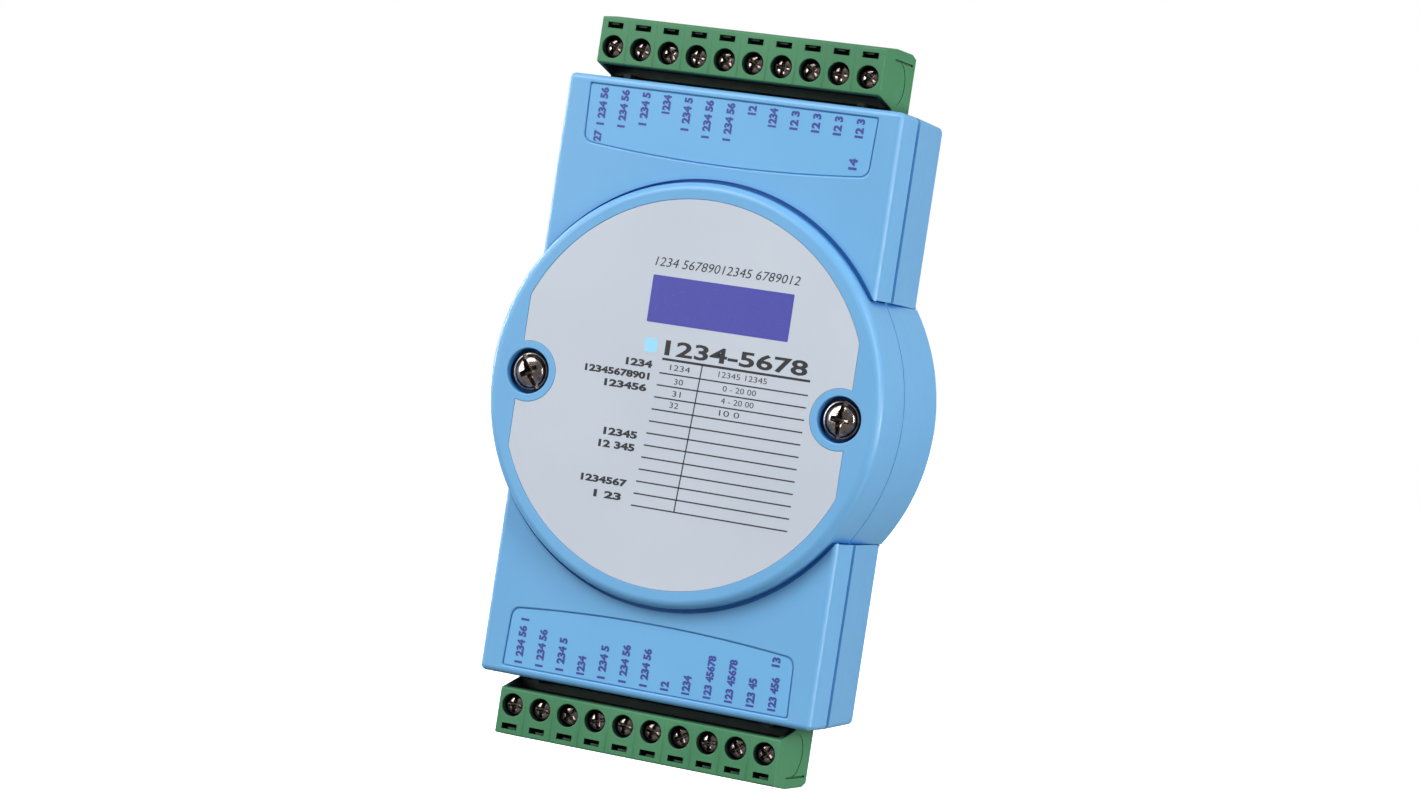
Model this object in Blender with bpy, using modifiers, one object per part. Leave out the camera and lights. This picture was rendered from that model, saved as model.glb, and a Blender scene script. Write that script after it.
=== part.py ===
"""DIN-rail input/output module with two pluggable ten-pole terminal blocks.

Frame, in metres: X across the module, Z up along it, front face towards -Y.
The origin is the middle of the flat seat on the rail foot that rests on the rail.
"""

import math

import bmesh
import bpy
from mathutils import Matrix, Vector

# ---- driving dimensions --------------------------------------------------------------------
CASE_WIDTH = 0.0600
CASE_HEIGHT = 0.1010
CASE_DEPTH = 0.0250          # body face to rear face
COVER_DEPTH = 0.0080         # body face to the parting groove
BOSS_RADIUS = 0.0350
BOSS_RISE = 0.0028           # how far the round boss stands above the body face
WALL = 0.0020
GAP = 0.0003                 # clearance left between touching pieces
CORNER_RADIUS = 0.0012
FRONT_RIM_RADIUS = 0.0010
BOSS_RIM_RADIUS = 0.0012
REAR_RIM_RADIUS = 0.0004
REAR_DRAFT = 0.0020          # how much narrower each side is at the rear face
REAR_BOSS_RADIUS = 0.0347
OPENING_HALF_X = 0.0270      # end openings that the headers stand in

POLES = 10
PITCH = 0.00508
PLUG_WIDTH = 0.0508
PLUG_OUTER_Z = 0.0610        # wire-entry face of a plug, from the module's middle
SCREW_Z = 0.0554             # axis of the clamp screws
SLOT_Z = 0.0590              # test slots beside the screws
TEST_SLOT_HALF = (0.0014, 0.00045)
HEAD_HOLE_RADIUS = 0.00185
SHANK_HOLE_RADIUS = 0.0016
WIRE_ENTRY_HALF_X = 0.0019
PIN_HALF = 0.0005

LABEL_RADIUS = 0.0321
LABEL_FLAT_X = 0.0297
LABEL_RECESS = 0.0006
LABEL_THICKNESS = 0.00025
LABEL_GROWTH = 0.00015       # the recess is this much larger than the line, the label smaller
NOTCH_RADIUS = 0.0051
PANEL_HALF_X = 0.0259
PANEL_INNER_HALF_X = 0.0256
PANEL_OUTER_Z = 0.0490
PANEL_INNER_Z = 0.0393
PANEL_BOW = 0.0013           # how far the inner edge bulges towards the boss at its middle
PANEL_CORNER = 0.0014
PANEL_RECESS = 0.0007
LEGEND_THICKNESS = 0.0002

CASE_SCREW_X = 0.0280
CASE_SCREWS = [(-CASE_SCREW_X, 0), (CASE_SCREW_X, 0)]
CASE_SCREW_DEPTH = 0.0005    # boss face to the top of a case screw's head
WELL_RADIUS = 0.00385
WELL_DEPTH = 0.0027
FOOT_SCREWS = [(-0.0160, 0), (0.0160, 0)]
SCREW_HOLE_RADIUS = 0.0018
CROSS = [(0.0017, 0.00035), (0.00035, 0.0017)]
COLUMN_RADIUS = 0.0052       # columns under the screw wells, in the front half
SCREW_POST_RADIUS = 0.0045   # posts that meet them, in the rear half
FOOT_POST_RADIUS = 0.0035
SUPPORTS = [(x, z) for x in (-0.0215, 0.0215) for z in (-0.0300, 0.0300)]
FRONT_SUPPORT_RADIUS = 0.0022
REAR_SUPPORT_RADIUS = 0.0025

FOOT_THICKNESS = 0.0062      # rail seat to the face that lies on the rear shell
RAIL_HALF = 0.0175           # half of the 35 mm rail
HOOK_DEPTH = 0.0045

# ---- planes along Y worked out from them ---------------------------------------------------
SEAT = 0.0
FOOT_FRONT = SEAT - FOOT_THICKNESS
REAR = FOOT_FRONT - GAP
FACE = REAR - CASE_DEPTH
PARTING = FACE + COVER_DEPTH
BOSS_FACE = FACE - BOSS_RISE
BOARD_FRONT = FACE + 0.0160
BOARD_BACK = BOARD_FRONT + 0.0016
PIN_Y = FACE + 0.0102        # line of the header pins
OPENING_FRONT = FACE + 0.0047
OPENING_BACK = FACE + 0.0156

HALF_WIDTH = CASE_WIDTH / 2
HALF_HEIGHT = CASE_HEIGHT / 2
HALF_PLUG = PLUG_WIDTH / 2
POLE_X = [(number - (POLES - 1) / 2) * PITCH for number in range(POLES)]

BOSS_SIDES = 48              # facets round each kind of circle
HOLLOW_SIDES = 32
ROUND_SIDES = 16
SMALL_SIDES = 10
OVER = 0.0002                # how far a cutter runs past the face it opens


# ---- scene, collections and materials ------------------------------------------------------
def clear_scene():
    for item in list(bpy.data.objects):
        bpy.data.objects.remove(item, do_unlink=True)


def new_collection(name):
    collection = bpy.data.collections.new(name)
    bpy.context.scene.collection.children.link(collection)
    return collection


def linear(level):
    """One sRGB level, 0 to 255, as the linear value that a shader takes."""
    value = level / 255
    return value / 12.92 if value <= 0.04045 else ((value + 0.055) / 1.055) ** 2.4


def material(name, red, green, blue, roughness, metallic=0.0):
    made = bpy.data.materials.new(name)
    made.use_nodes = True
    shader = made.node_tree.nodes["Principled BSDF"]
    shader.inputs["Base Color"].default_value = (linear(red), linear(green), linear(blue), 1)
    shader.inputs["Roughness"].default_value = roughness
    shader.inputs["Metallic"].default_value = metallic
    made.diffuse_color = shader.inputs["Base Color"].default_value
    return made


clear_scene()
parts = new_collection("plc_module")
cutters = new_collection("plc_module_cutters")

case_blue = material("case_blue", 122, 178, 221, 0.42)
label_grey = material("label_grey", 196, 204, 214, 0.5)
legend_blue = material("legend_blue", 118, 180, 223, 0.45)
plug_green = material("plug_green", 70, 128, 92, 0.45)
header_green = material("header_green", 58, 110, 78, 0.5)
screw_steel = material("screw_steel", 190, 186, 180, 0.25, 1.0)
cage_nickel = material("cage_nickel", 200, 192, 170, 0.3, 1.0)
board_green = material("board_green", 24, 88, 54, 0.5)
chip_black = material("chip_black", 24, 24, 26, 0.5)
foot_grey = material("foot_grey", 52, 56, 62, 0.55)


# ---- mesh helpers --------------------------------------------------------------------------
def add_block(bm, low, high):
    """A box between two opposite corners."""
    verts = bmesh.ops.create_cube(bm, size=1.0)["verts"]
    size = [b - a for a, b in zip(low, high)]
    middle = [(a + b) / 2 for a, b in zip(low, high)]
    bmesh.ops.scale(bm, vec=size, verts=verts)
    bmesh.ops.translate(bm, vec=middle, verts=verts)
    return verts


def add_drum(bm, x, z, front, back, radius, back_radius=None, sides=ROUND_SIDES):
    """A cylinder or cone whose axis runs along +Y at (x, z)."""
    turn = Matrix.Rotation(-math.pi / 2, 4, "X")
    place = Matrix.Translation((x, (front + back) / 2, z)) @ turn
    return bmesh.ops.create_cone(
        bm, cap_ends=True, segments=sides, radius1=radius,
        radius2=radius if back_radius is None else back_radius,
        depth=back - front, matrix=place)["verts"]


def round_edges(bm, chosen, radius, segments=2):
    edges = [edge for edge in bm.edges if chosen(edge)]
    bmesh.ops.bevel(bm, geom=edges, offset=radius, segments=segments, profile=0.5,
                    affect="EDGES", clamp_overlap=True)


def on_plane(edge, y):
    return all(abs(vert.co.y - y) < 1e-6 for vert in edge.verts)


def along_y(edge):
    first, second = (vert.co for vert in edge.verts)
    return abs(first.x - second.x) < 0.0025 and abs(first.y - second.y) > 0.001


def finish(name, bm, collection, finish_material=None):
    """Turn a bmesh into an object of the given collection."""
    bmesh.ops.recalc_face_normals(bm, faces=bm.faces)
    mesh = bpy.data.meshes.new(name)
    bm.to_mesh(mesh)
    bm.free()
    return place_mesh(name, mesh, collection, finish_material)


def place_mesh(name, mesh, collection, finish_material=None):
    made = bpy.data.objects.new(name, mesh)
    collection.objects.link(made)
    if finish_material and not mesh.materials:
        mesh.materials.append(finish_material)
    if collection is cutters:
        made.hide_render = True
        made.display_type = "WIRE"
    mesh.shade_smooth()
    mesh.set_sharp_from_angle(angle=math.radians(30))
    return made


def combine(target, tool, operation):
    step = target.modifiers.new(tool.name, "BOOLEAN")
    step.operation = operation
    step.object = tool
    step.solver = "EXACT"


def cut(target, *tools):
    for tool in tools:
        combine(target, tool, "DIFFERENCE")


def join(target, *tools):
    for tool in tools:
        combine(target, tool, "UNION")


def outline_object(name, points, thickness, place, collection, finish_material=None):
    """A flat outline thickened evenly about its plane, as a closed mesh object."""
    curve = bpy.data.curves.new(name, "CURVE")
    curve.dimensions = "2D"
    curve.fill_mode = "BOTH"
    curve.extrude = thickness / 2
    spline = curve.splines.new("POLY")
    spline.points.add(len(points) - 1)
    for point, (a, b) in zip(spline.points, points):
        point.co = (a, b, 0, 1)
    spline.use_cyclic_u = True
    guide = bpy.data.objects.new(name + "_outline", curve)
    cutters.objects.link(guide)
    guide.matrix_world = place
    bpy.context.view_layer.update()
    ready = guide.evaluated_get(bpy.context.evaluated_depsgraph_get())
    mesh = bpy.data.meshes.new_from_object(ready)
    bpy.data.objects.remove(guide, do_unlink=True)
    bm = bmesh.new()
    bm.from_mesh(mesh)
    bpy.data.meshes.remove(mesh)
    bmesh.ops.remove_doubles(bm, verts=bm.verts, dist=1e-6)
    bmesh.ops.transform(bm, matrix=place, verts=bm.verts)
    return finish(name, bm, collection, finish_material)


def facing_front(y):
    """Outline points are (x, z), thickened along Y about the plane y."""
    return Matrix.Translation((0, y, 0)) @ Matrix.Rotation(math.pi / 2, 4, "X")


def facing_side(x=0.0):
    """Outline points are (y, z), thickened along X about the plane x."""
    axes = Matrix(((0, 0, 1, 0), (1, 0, 0, 0), (0, 1, 0, 0), (0, 0, 0, 1)))
    return Matrix.Translation((x, 0, 0)) @ axes


def rounded(corners, steps=4):
    """Corners are (a, b, radius); each one with a radius becomes an arc."""
    points = []
    for index, (a, b, radius) in enumerate(corners):
        here = Vector((a, b))
        if radius == 0:
            points.append(here)
            continue
        before = Vector(corners[index - 1][:2])
        after = Vector(corners[(index + 1) % len(corners)][:2])
        first, second = (before - here).normalized(), (after - here).normalized()
        half = first.angle(second) / 2
        centre = here + (first + second).normalized() * radius / math.sin(half)
        start = (here + first * radius / math.tan(half) - centre).normalized()
        end = (here + second * radius / math.tan(half) - centre).normalized()
        for step in range(steps + 1):
            points.append(centre + radius * start.slerp(end, step / steps))
    return [tuple(point) for point in points]


# ---- the case ------------------------------------------------------------------------------
def tapered_block(bm, front, back, front_half, back_half):
    """A block centred on the Y axis; each half is its (x, z) at the front or back plane."""
    add_block(bm, (-1, front, -1), (1, back, 1))
    for vert in bm.verts:
        half = front_half if abs(vert.co.y - front) < 1e-6 else back_half
        vert.co.x *= half[0]
        vert.co.z *= half[1]


def case_body(front, back, front_half, back_half, rim, rim_radius):
    """The rectangular body of a case half, rounded at its corners and round one face."""
    bm = bmesh.new()
    tapered_block(bm, front, back, front_half, back_half)
    round_edges(bm, along_y, CORNER_RADIUS)
    round_edges(bm, lambda edge: on_plane(edge, rim), rim_radius)
    return bm


def plate_with_notches(name, grow, front, back, collection, finish_material=None):
    """The round label's outline: flats left and right, and a notch round each case screw."""
    bm = bmesh.new()
    add_drum(bm, 0, 0, front, back, LABEL_RADIUS + grow, sides=BOSS_SIDES)
    plate = finish(name, bm, collection, finish_material)
    bm = bmesh.new()
    flat = LABEL_FLAT_X + grow
    add_block(bm, (-flat, front - 0.001, -0.05), (flat, back + 0.001, 0.05))
    flats = finish(name + "_flats", bm, cutters)
    bm = bmesh.new()
    for side in (-1, 1):
        add_drum(bm, side * CASE_SCREW_X, 0, front - 0.002, back + 0.002, NOTCH_RADIUS - grow)
    notches = finish(name + "_notches", bm, cutters)
    combine(plate, flats, "INTERSECT")
    cut(plate, notches)
    return plate


def panel_outline(side, shrink):
    """Recessed legend panel: straight outer edge, inner edge bowed towards the boss."""
    inner_x = PANEL_INNER_HALF_X - shrink
    outer_x = PANEL_HALF_X - shrink
    outer_z = PANEL_OUTER_Z - shrink
    inner_z = PANEL_INNER_Z + shrink
    corners = [(outer_x, outer_z, 0), (-outer_x, outer_z, 0), (-inner_x, inner_z, PANEL_CORNER)]
    for step in range(1, 8):
        across = -1 + step / 4
        corners.append((across * inner_x, inner_z - PANEL_BOW * (1 - across ** 2), 0))
    corners.append((inner_x, inner_z, PANEL_CORNER))
    return [(x, side * z) for x, z in rounded(corners)]


def end_openings(name):
    """Cutter for the openings in the case's two ends that the headers stand in."""
    bm = bmesh.new()
    for side in (-1, 1):
        low_z, high_z = sorted((side * (HALF_HEIGHT - 2 * WALL), side * (HALF_HEIGHT + WALL)))
        add_block(bm, (-OPENING_HALF_X, OPENING_FRONT, low_z),
                  (OPENING_HALF_X, OPENING_BACK, high_z))
    return finish(name, bm, cutters)


def drums(name, places, front, back, radius, sides=ROUND_SIDES, collection=cutters):
    bm = bmesh.new()
    for x, z in places:
        add_drum(bm, x, z, front, back, radius, sides=sides)
    return finish(name, bm, collection)


def make_front_cover():
    back = PARTING - GAP / 2
    half = (HALF_WIDTH, HALF_HEIGHT)
    body = case_body(FACE, back, half, half, FACE, FRONT_RIM_RADIUS)
    cover = finish("front_cover", body, parts, case_blue)

    bm = bmesh.new()
    add_drum(bm, 0, 0, BOSS_FACE, back, BOSS_RADIUS, sides=BOSS_SIDES)
    round_edges(bm, lambda edge: on_plane(edge, BOSS_FACE), BOSS_RIM_RADIUS)
    join(cover, finish("cover_boss", bm, cutters))

    inner = (HALF_WIDTH - WALL, HALF_HEIGHT - WALL)
    bm = bmesh.new()
    add_block(bm, (-inner[0], FACE + WALL, -inner[1]), (inner[0], back + OVER, inner[1]))
    cut(cover, finish("cover_hollow", bm, cutters))
    cut(cover, drums("cover_boss_hollow", [(0, 0)], BOSS_FACE + WALL, back + 2 * OVER,
                     BOSS_RADIUS - WALL, sides=HOLLOW_SIDES))

    join(cover, drums("cover_screw_columns", CASE_SCREWS, BOSS_FACE + WALL - OVER, back,
                      COLUMN_RADIUS))
    join(cover, drums("cover_board_posts", SUPPORTS, FACE + WALL - OVER, BOARD_FRONT - GAP,
                      FRONT_SUPPORT_RADIUS, sides=SMALL_SIDES))
    cut(cover, drums("cover_wells", CASE_SCREWS, BOSS_FACE - OVER, BOSS_FACE + WELL_DEPTH,
                     WELL_RADIUS))
    cut(cover, drums("cover_screw_holes", CASE_SCREWS, BOSS_FACE + WELL_DEPTH - OVER,
                     back + OVER, SCREW_HOLE_RADIUS))
    cut(cover, end_openings("cover_end_openings"))
    cut(cover, plate_with_notches("label_recess", LABEL_GROWTH, BOSS_FACE - OVER,
                                  BOSS_FACE + LABEL_RECESS, cutters))
    for side in (-1, 1):
        recess = outline_object(f"panel_recess_{side}", panel_outline(side, 0), PANEL_RECESS * 2,
                                facing_front(FACE), cutters)
        cut(cover, recess)


def make_labels():
    back = BOSS_FACE + LABEL_RECESS - GAP
    plate_with_notches("face_label", -LABEL_GROWTH, back - LABEL_THICKNESS, back, parts,
                       label_grey)
    legend_middle = FACE + PANEL_RECESS - GAP - LEGEND_THICKNESS / 2
    for side, name in ((1, "upper_terminal_label"), (-1, "lower_terminal_label")):
        outline_object(name, panel_outline(side, GAP), LEGEND_THICKNESS,
                       facing_front(legend_middle), parts, legend_blue)


def make_rear_shell():
    front = PARTING + GAP / 2
    half = (HALF_WIDTH, HALF_HEIGHT)
    rear_half = (HALF_WIDTH - REAR_DRAFT, HALF_HEIGHT)
    body = case_body(front, REAR, half, rear_half, REAR, REAR_RIM_RADIUS)
    shell = finish("rear_shell", body, parts, case_blue)

    bm = bmesh.new()
    add_drum(bm, 0, 0, front, REAR, BOSS_RADIUS, REAR_BOSS_RADIUS, sides=BOSS_SIDES)
    round_edges(bm, lambda edge: on_plane(edge, REAR), REAR_RIM_RADIUS)
    join(shell, finish("shell_boss", bm, cutters))

    floor = REAR - WALL
    bm = bmesh.new()
    tapered_block(bm, front - OVER, floor, [size - WALL for size in half],
                  [size - WALL for size in rear_half])
    cut(shell, finish("shell_hollow", bm, cutters))
    cut(shell, drums("shell_boss_hollow", [(0, 0)], front - 2 * OVER, floor - 0.00005,
                     REAR_BOSS_RADIUS - WALL, sides=HOLLOW_SIDES))

    join(shell, drums("shell_screw_posts", CASE_SCREWS, front, floor + OVER,
                      SCREW_POST_RADIUS))
    join(shell, drums("shell_board_posts", SUPPORTS, BOARD_BACK + GAP, floor + OVER,
                      REAR_SUPPORT_RADIUS, sides=SMALL_SIDES))
    join(shell, drums("shell_foot_posts", FOOT_SCREWS, BOARD_BACK + GAP, floor + OVER,
                      FOOT_POST_RADIUS))
    cut(shell, drums("shell_screw_holes", CASE_SCREWS, front - OVER, floor - WALL / 2,
                     SCREW_HOLE_RADIUS))
    cut(shell, drums("shell_foot_holes", FOOT_SCREWS, BOARD_BACK, REAR + OVER,
                     SCREW_HOLE_RADIUS))
    cut(shell, end_openings("shell_end_openings"))


# ---- screws --------------------------------------------------------------------------------
def screw_mesh(name, head, shank, slots, slot_depth, steps):
    """A screw with its head's top at the origin and its shank along +Y, as one mesh.

    head and shank are (radius, length); each slot is the half size (x, z) of one tool slot.
    """
    (head_radius, head_height), (shank_radius, shank_length) = head, shank
    length = head_height + shank_length
    profile = [(0, 0), (head_radius, 0), (head_radius, -head_height),
               (shank_radius, -head_height), (shank_radius, -length), (0, -length)]
    bm = bmesh.new()
    verts = [bm.verts.new((radius, 0, height)) for radius, height in profile]
    for first, second in zip(verts, verts[1:]):
        bm.edges.new((first, second))
    mesh = bpy.data.meshes.new(name)
    bm.to_mesh(mesh)
    bm.free()
    turned = bpy.data.objects.new(name, mesh)
    cutters.objects.link(turned)
    spin = turned.modifiers.new("turned", "SCREW")
    spin.axis = "Z"
    spin.steps = spin.render_steps = steps
    spin.use_merge_vertices = True
    spin.merge_threshold = 0.00001
    used = [turned]
    for number, (half_x, half_z) in enumerate(slots):
        bm = bmesh.new()
        add_block(bm, (-half_x, -half_z, -slot_depth), (half_x, half_z, OVER))
        used.append(finish(f"{name}_slot_{number}", bm, cutters))
    cut(turned, *used[1:])
    bpy.context.view_layer.update()
    ready = turned.evaluated_get(bpy.context.evaluated_depsgraph_get())
    solid = bpy.data.meshes.new_from_object(ready)
    solid.transform(Matrix.Rotation(math.pi / 2, 4, "X"))
    for item in used:
        bpy.data.objects.remove(item, do_unlink=True)
    return solid


def make_case_screws():
    mesh = screw_mesh("case_screw", (0.0031, 0.0019), (0.0014, 0.0170), CROSS, 0.0012,
                      ROUND_SIDES)
    for (x, z), side in zip(CASE_SCREWS, ("left", "right")):
        screw = place_mesh("case_screw_" + side, mesh, parts, screw_steel)
        screw.location = (x, BOSS_FACE + CASE_SCREW_DEPTH, z)


def make_foot_screws():
    mesh = screw_mesh("adapter_screw", (0.0028, 0.0018), (0.0014, 0.0102), CROSS, 0.0011,
                      ROUND_SIDES)
    for (x, z), side in zip(FOOT_SCREWS, ("left", "right")):
        screw = place_mesh("adapter_screw_" + side, mesh, parts, screw_steel)
        screw.location = (x, SEAT - 0.0003, z)
        screw.rotation_euler = (0, 0, math.pi)


# ---- terminal blocks -----------------------------------------------------------------------
HEAD_FRONT = FACE + 0.0010       # top of a clamp screw's head
HEAD_HOLE_FLOOR = FACE + 0.0029
CAVITY_FRONT = FACE + 0.0034
CAVITY_BACK = FACE + 0.0130
CAGE_FRONT = FACE + 0.0062       # lift cage when it is fully open
CAGE_DEPTH = 0.0065
CAGE_HALF_X = 0.00195
CAGE_HALF_Z = 0.0020
CAVITY_HALF_X = CAGE_HALF_X + GAP
NOSE_FRONT = FACE + 0.0063
NOSE_BACK = FACE + 0.0140
NOSE_END_Z = 0.0430
SHROUD_OUT_Z = 0.0500
SHROUD_IN_Z = 0.0415
PIN_BEND_Z = SHROUD_IN_Z - 0.0018    # inner side of the pins' bend
POCKET_HALF_X = 0.0246               # pocket under the screw head block
POCKET_FRONT = FACE + 0.0008
POCKET_BACK = FACE + 0.0058
POCKET_TOP_Z = 0.0526


def plug_outline(side):
    """Cross-section (y, z) of a plug: screw head block, sloped underside and plug-in nose."""
    face_inner_z, face_outer_z = 0.0527, 0.0603
    front_shelf_z, back_shelf_z = 0.0511, 0.0509
    back, chamfer_y, chamfer_z = FACE + 0.0145, 0.0018, 0.0006
    points = [
        (FACE, face_inner_z), (NOSE_FRONT, front_shelf_z), (NOSE_FRONT, NOSE_END_Z),
        (NOSE_BACK, NOSE_END_Z), (NOSE_BACK, back_shelf_z), (back, back_shelf_z),
        (back, PLUG_OUTER_Z - chamfer_z), (back - chamfer_y, PLUG_OUTER_Z),
        (FACE + 0.0055, PLUG_OUTER_Z), (FACE, face_outer_z)]
    return [(y, side * z) for y, z in points]


def plug_pocket(name, side):
    """Cutter for the pocket under the screw head block, closed by a cheek at each end."""
    low_z, high_z = sorted((side * (SHROUD_OUT_Z + OVER), side * POCKET_TOP_Z))
    bm = bmesh.new()
    add_block(bm, (-POCKET_HALF_X, POCKET_FRONT, low_z), (POCKET_HALF_X, POCKET_BACK, high_z))
    return finish(name, bm, cutters)


def pole_blocks(name, half_x, y_range, z_range, side):
    """One cutter box in every pole of a block."""
    low_z, high_z = sorted(side * z for z in z_range)
    bm = bmesh.new()
    for x in POLE_X:
        add_block(bm, (x - half_x, y_range[0], low_z), (x + half_x, y_range[1], high_z))
    return finish(name, bm, cutters)


def make_plug(row, side):
    housing = outline_object(row + "_plug_housing", plug_outline(side), PLUG_WIDTH,
                             facing_side(), parts, plug_green)
    axes = [(x, side * SCREW_Z) for x in POLE_X]
    slot_x, slot_z = TEST_SLOT_HALF
    cut(housing, plug_pocket(row + "_pocket", side))
    cut(housing, drums(row + "_head_holes", axes, FACE - OVER, HEAD_HOLE_FLOOR,
                       HEAD_HOLE_RADIUS, sides=SMALL_SIDES + 2))
    cut(housing, drums(row + "_shank_holes", axes, HEAD_HOLE_FLOOR - OVER, CAVITY_FRONT + OVER,
                       SHANK_HOLE_RADIUS, sides=SMALL_SIDES))
    cut(housing, pole_blocks(row + "_cavities", CAVITY_HALF_X, (CAVITY_FRONT, CAVITY_BACK),
                             (SCREW_Z - CAGE_HALF_Z - GAP, SCREW_Z + CAGE_HALF_Z + GAP), side))
    cut(housing, pole_blocks(row + "_wire_entries", WIRE_ENTRY_HALF_X,
                             (FACE + 0.0076, FACE + 0.0121),
                             (SCREW_Z + CAGE_HALF_Z, PLUG_OUTER_Z + OVER), side))
    cut(housing, pole_blocks(row + "_pin_sockets", PIN_HALF + GAP,
                             (PIN_Y - PIN_HALF - GAP, PIN_Y + PIN_HALF + GAP),
                             (NOSE_END_Z - OVER, SCREW_Z - CAGE_HALF_Z), side))
    cut(housing, pole_blocks(row + "_test_slots", slot_x, (FACE - OVER, FACE + 0.0020),
                             (SLOT_Z - slot_z, SLOT_Z + slot_z), side))


def make_header(row, side):
    """Shroud on the board, with one angled pin for every pole."""
    inner_x, outer_x = HALF_PLUG + GAP, 0.0267
    low_z, high_z = sorted((side * SHROUD_IN_Z, side * SHROUD_OUT_Z))
    bm = bmesh.new()
    add_block(bm, (-outer_x, FACE + 0.0050, low_z), (outer_x, FACE + 0.0153, high_z))
    header = finish(row + "_header", bm, parts, header_green)
    low_z, high_z = sorted((side * (SHROUD_IN_Z + 0.0012), side * (SHROUD_OUT_Z + OVER)))
    bm = bmesh.new()
    add_block(bm, (-inner_x, NOSE_FRONT - GAP, low_z), (inner_x, NOSE_BACK + GAP, high_z))
    cut(header, finish(row + "_header_socket", bm, cutters))
    tip, tail = SHROUD_OUT_Z - 0.0015, BOARD_BACK + 0.0008
    bend, turned = PIN_BEND_Z, PIN_BEND_Z + 2 * PIN_HALF
    pin = [(PIN_Y - PIN_HALF, tip), (PIN_Y - PIN_HALF, bend), (tail, bend), (tail, turned),
           (PIN_Y + PIN_HALF, turned), (PIN_Y + PIN_HALF, tip)]
    outline = [(y, side * z) for y, z in pin]
    for number, x in enumerate(POLE_X, start=1):
        pin_object = outline_object(f"{row}_pin_{number:02d}", outline, 2 * PIN_HALF,
                                    facing_side(x), cutters)
        join(header, pin_object)


def cage_mesh():
    """A lift cage centred on its screw axis at z = 0, front wall starting at y = 0."""
    bm = bmesh.new()
    add_block(bm, (-CAGE_HALF_X, 0, -CAGE_HALF_Z), (CAGE_HALF_X, CAGE_DEPTH, CAGE_HALF_Z))
    cage = finish("cage", bm, cutters)
    bm = bmesh.new()
    add_block(bm, (-0.0013, 0.0012, -0.003), (0.0013, CAGE_DEPTH - 0.0008, 0.003))
    window = finish("cage_window", bm, cutters)
    nut = drums("cage_nut", [(0, 0)], -OVER, 0.0014, 0.0016, sides=SMALL_SIDES)
    cut(cage, window, nut)
    bpy.context.view_layer.update()
    ready = cage.evaluated_get(bpy.context.evaluated_depsgraph_get())
    mesh = bpy.data.meshes.new_from_object(ready)
    for used in (cage, window, nut):
        bpy.data.objects.remove(used, do_unlink=True)
    return mesh


def make_clamps():
    screw = screw_mesh("clamp_screw", (0.0016, 0.0016), (0.0012, 0.0047), [(0.0020, 0.00025)],
                       0.0008, SMALL_SIDES)
    cage = cage_mesh()
    for row, side in (("upper", 1), ("lower", -1)):
        for number, x in enumerate(POLE_X, start=1):
            clamp = place_mesh(f"{row}_screw_{number:02d}", screw, parts, screw_steel)
            clamp.location = (x, HEAD_FRONT, side * SCREW_Z)
            lift = place_mesh(f"{row}_cage_{number:02d}", cage, parts, cage_nickel)
            lift.location = (x, CAGE_FRONT, side * SCREW_Z)


# ---- board ---------------------------------------------------------------------------------
def make_board():
    bm = bmesh.new()
    add_block(bm, (-0.0262, BOARD_FRONT, -0.0477), (0.0262, BOARD_BACK, 0.0477))
    board = finish("main_board", bm, parts, board_green)
    cut(board, drums("board_screw_notches", CASE_SCREWS, BOARD_FRONT - 0.001, BOARD_BACK + 0.001,
                     0.0060))
    pin_z = PIN_BEND_Z + PIN_HALF
    bm = bmesh.new()
    for side in (-1, 1):
        for x in POLE_X:
            reach = PIN_HALF + GAP
            add_block(bm, (x - reach, BOARD_FRONT - OVER, side * pin_z - reach),
                      (x + reach, BOARD_BACK + OVER, side * pin_z + reach))
    cut(board, finish("board_pin_holes", bm, cutters))

    back = BOARD_FRONT - GAP
    boxes = {
        "dc_converter": ((-0.0020, back - 0.0085, 0.0060), (0.0180, back, 0.0260)),
        "microcontroller": ((-0.0080, back - 0.0016, -0.0180), (0.0060, back, -0.0040)),
    }
    for name, (low, high) in boxes.items():
        bm = bmesh.new()
        add_block(bm, low, high)
        round_edges(bm, lambda edge: on_plane(edge, low[1]), 0.0004, segments=1)
        finish(name, bm, parts, chip_black)
    bm = bmesh.new()
    add_drum(bm, -0.0120, 0.0170, back - 0.0090, back, 0.0040)
    finish("buffer_capacitor", bm, parts, chip_black)


# ---- rail foot -----------------------------------------------------------------------------
FOOT_HALF_X = 0.0220
FOOT_TOP_Z = 0.0300
FOOT_BOTTOM_Z = -0.0470
CHANNEL_TOP_Z = -0.0176
FLANGE_BACK = SEAT - 0.0021      # back of the channel's wide, inner layer
CHANNEL_FLOOR = SEAT - 0.0043
POST_Z = (-0.0380, -0.0350)      # spring post on the channel floor
WINDOW_Z = (-0.0383, -0.0260)    # window in the latch that the post stands in
LIP_GAP = 0.0014                 # seat to the underside of a hook's lip
LIP_REACH = 0.0023               # how far a lip covers the rail's edge


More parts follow.
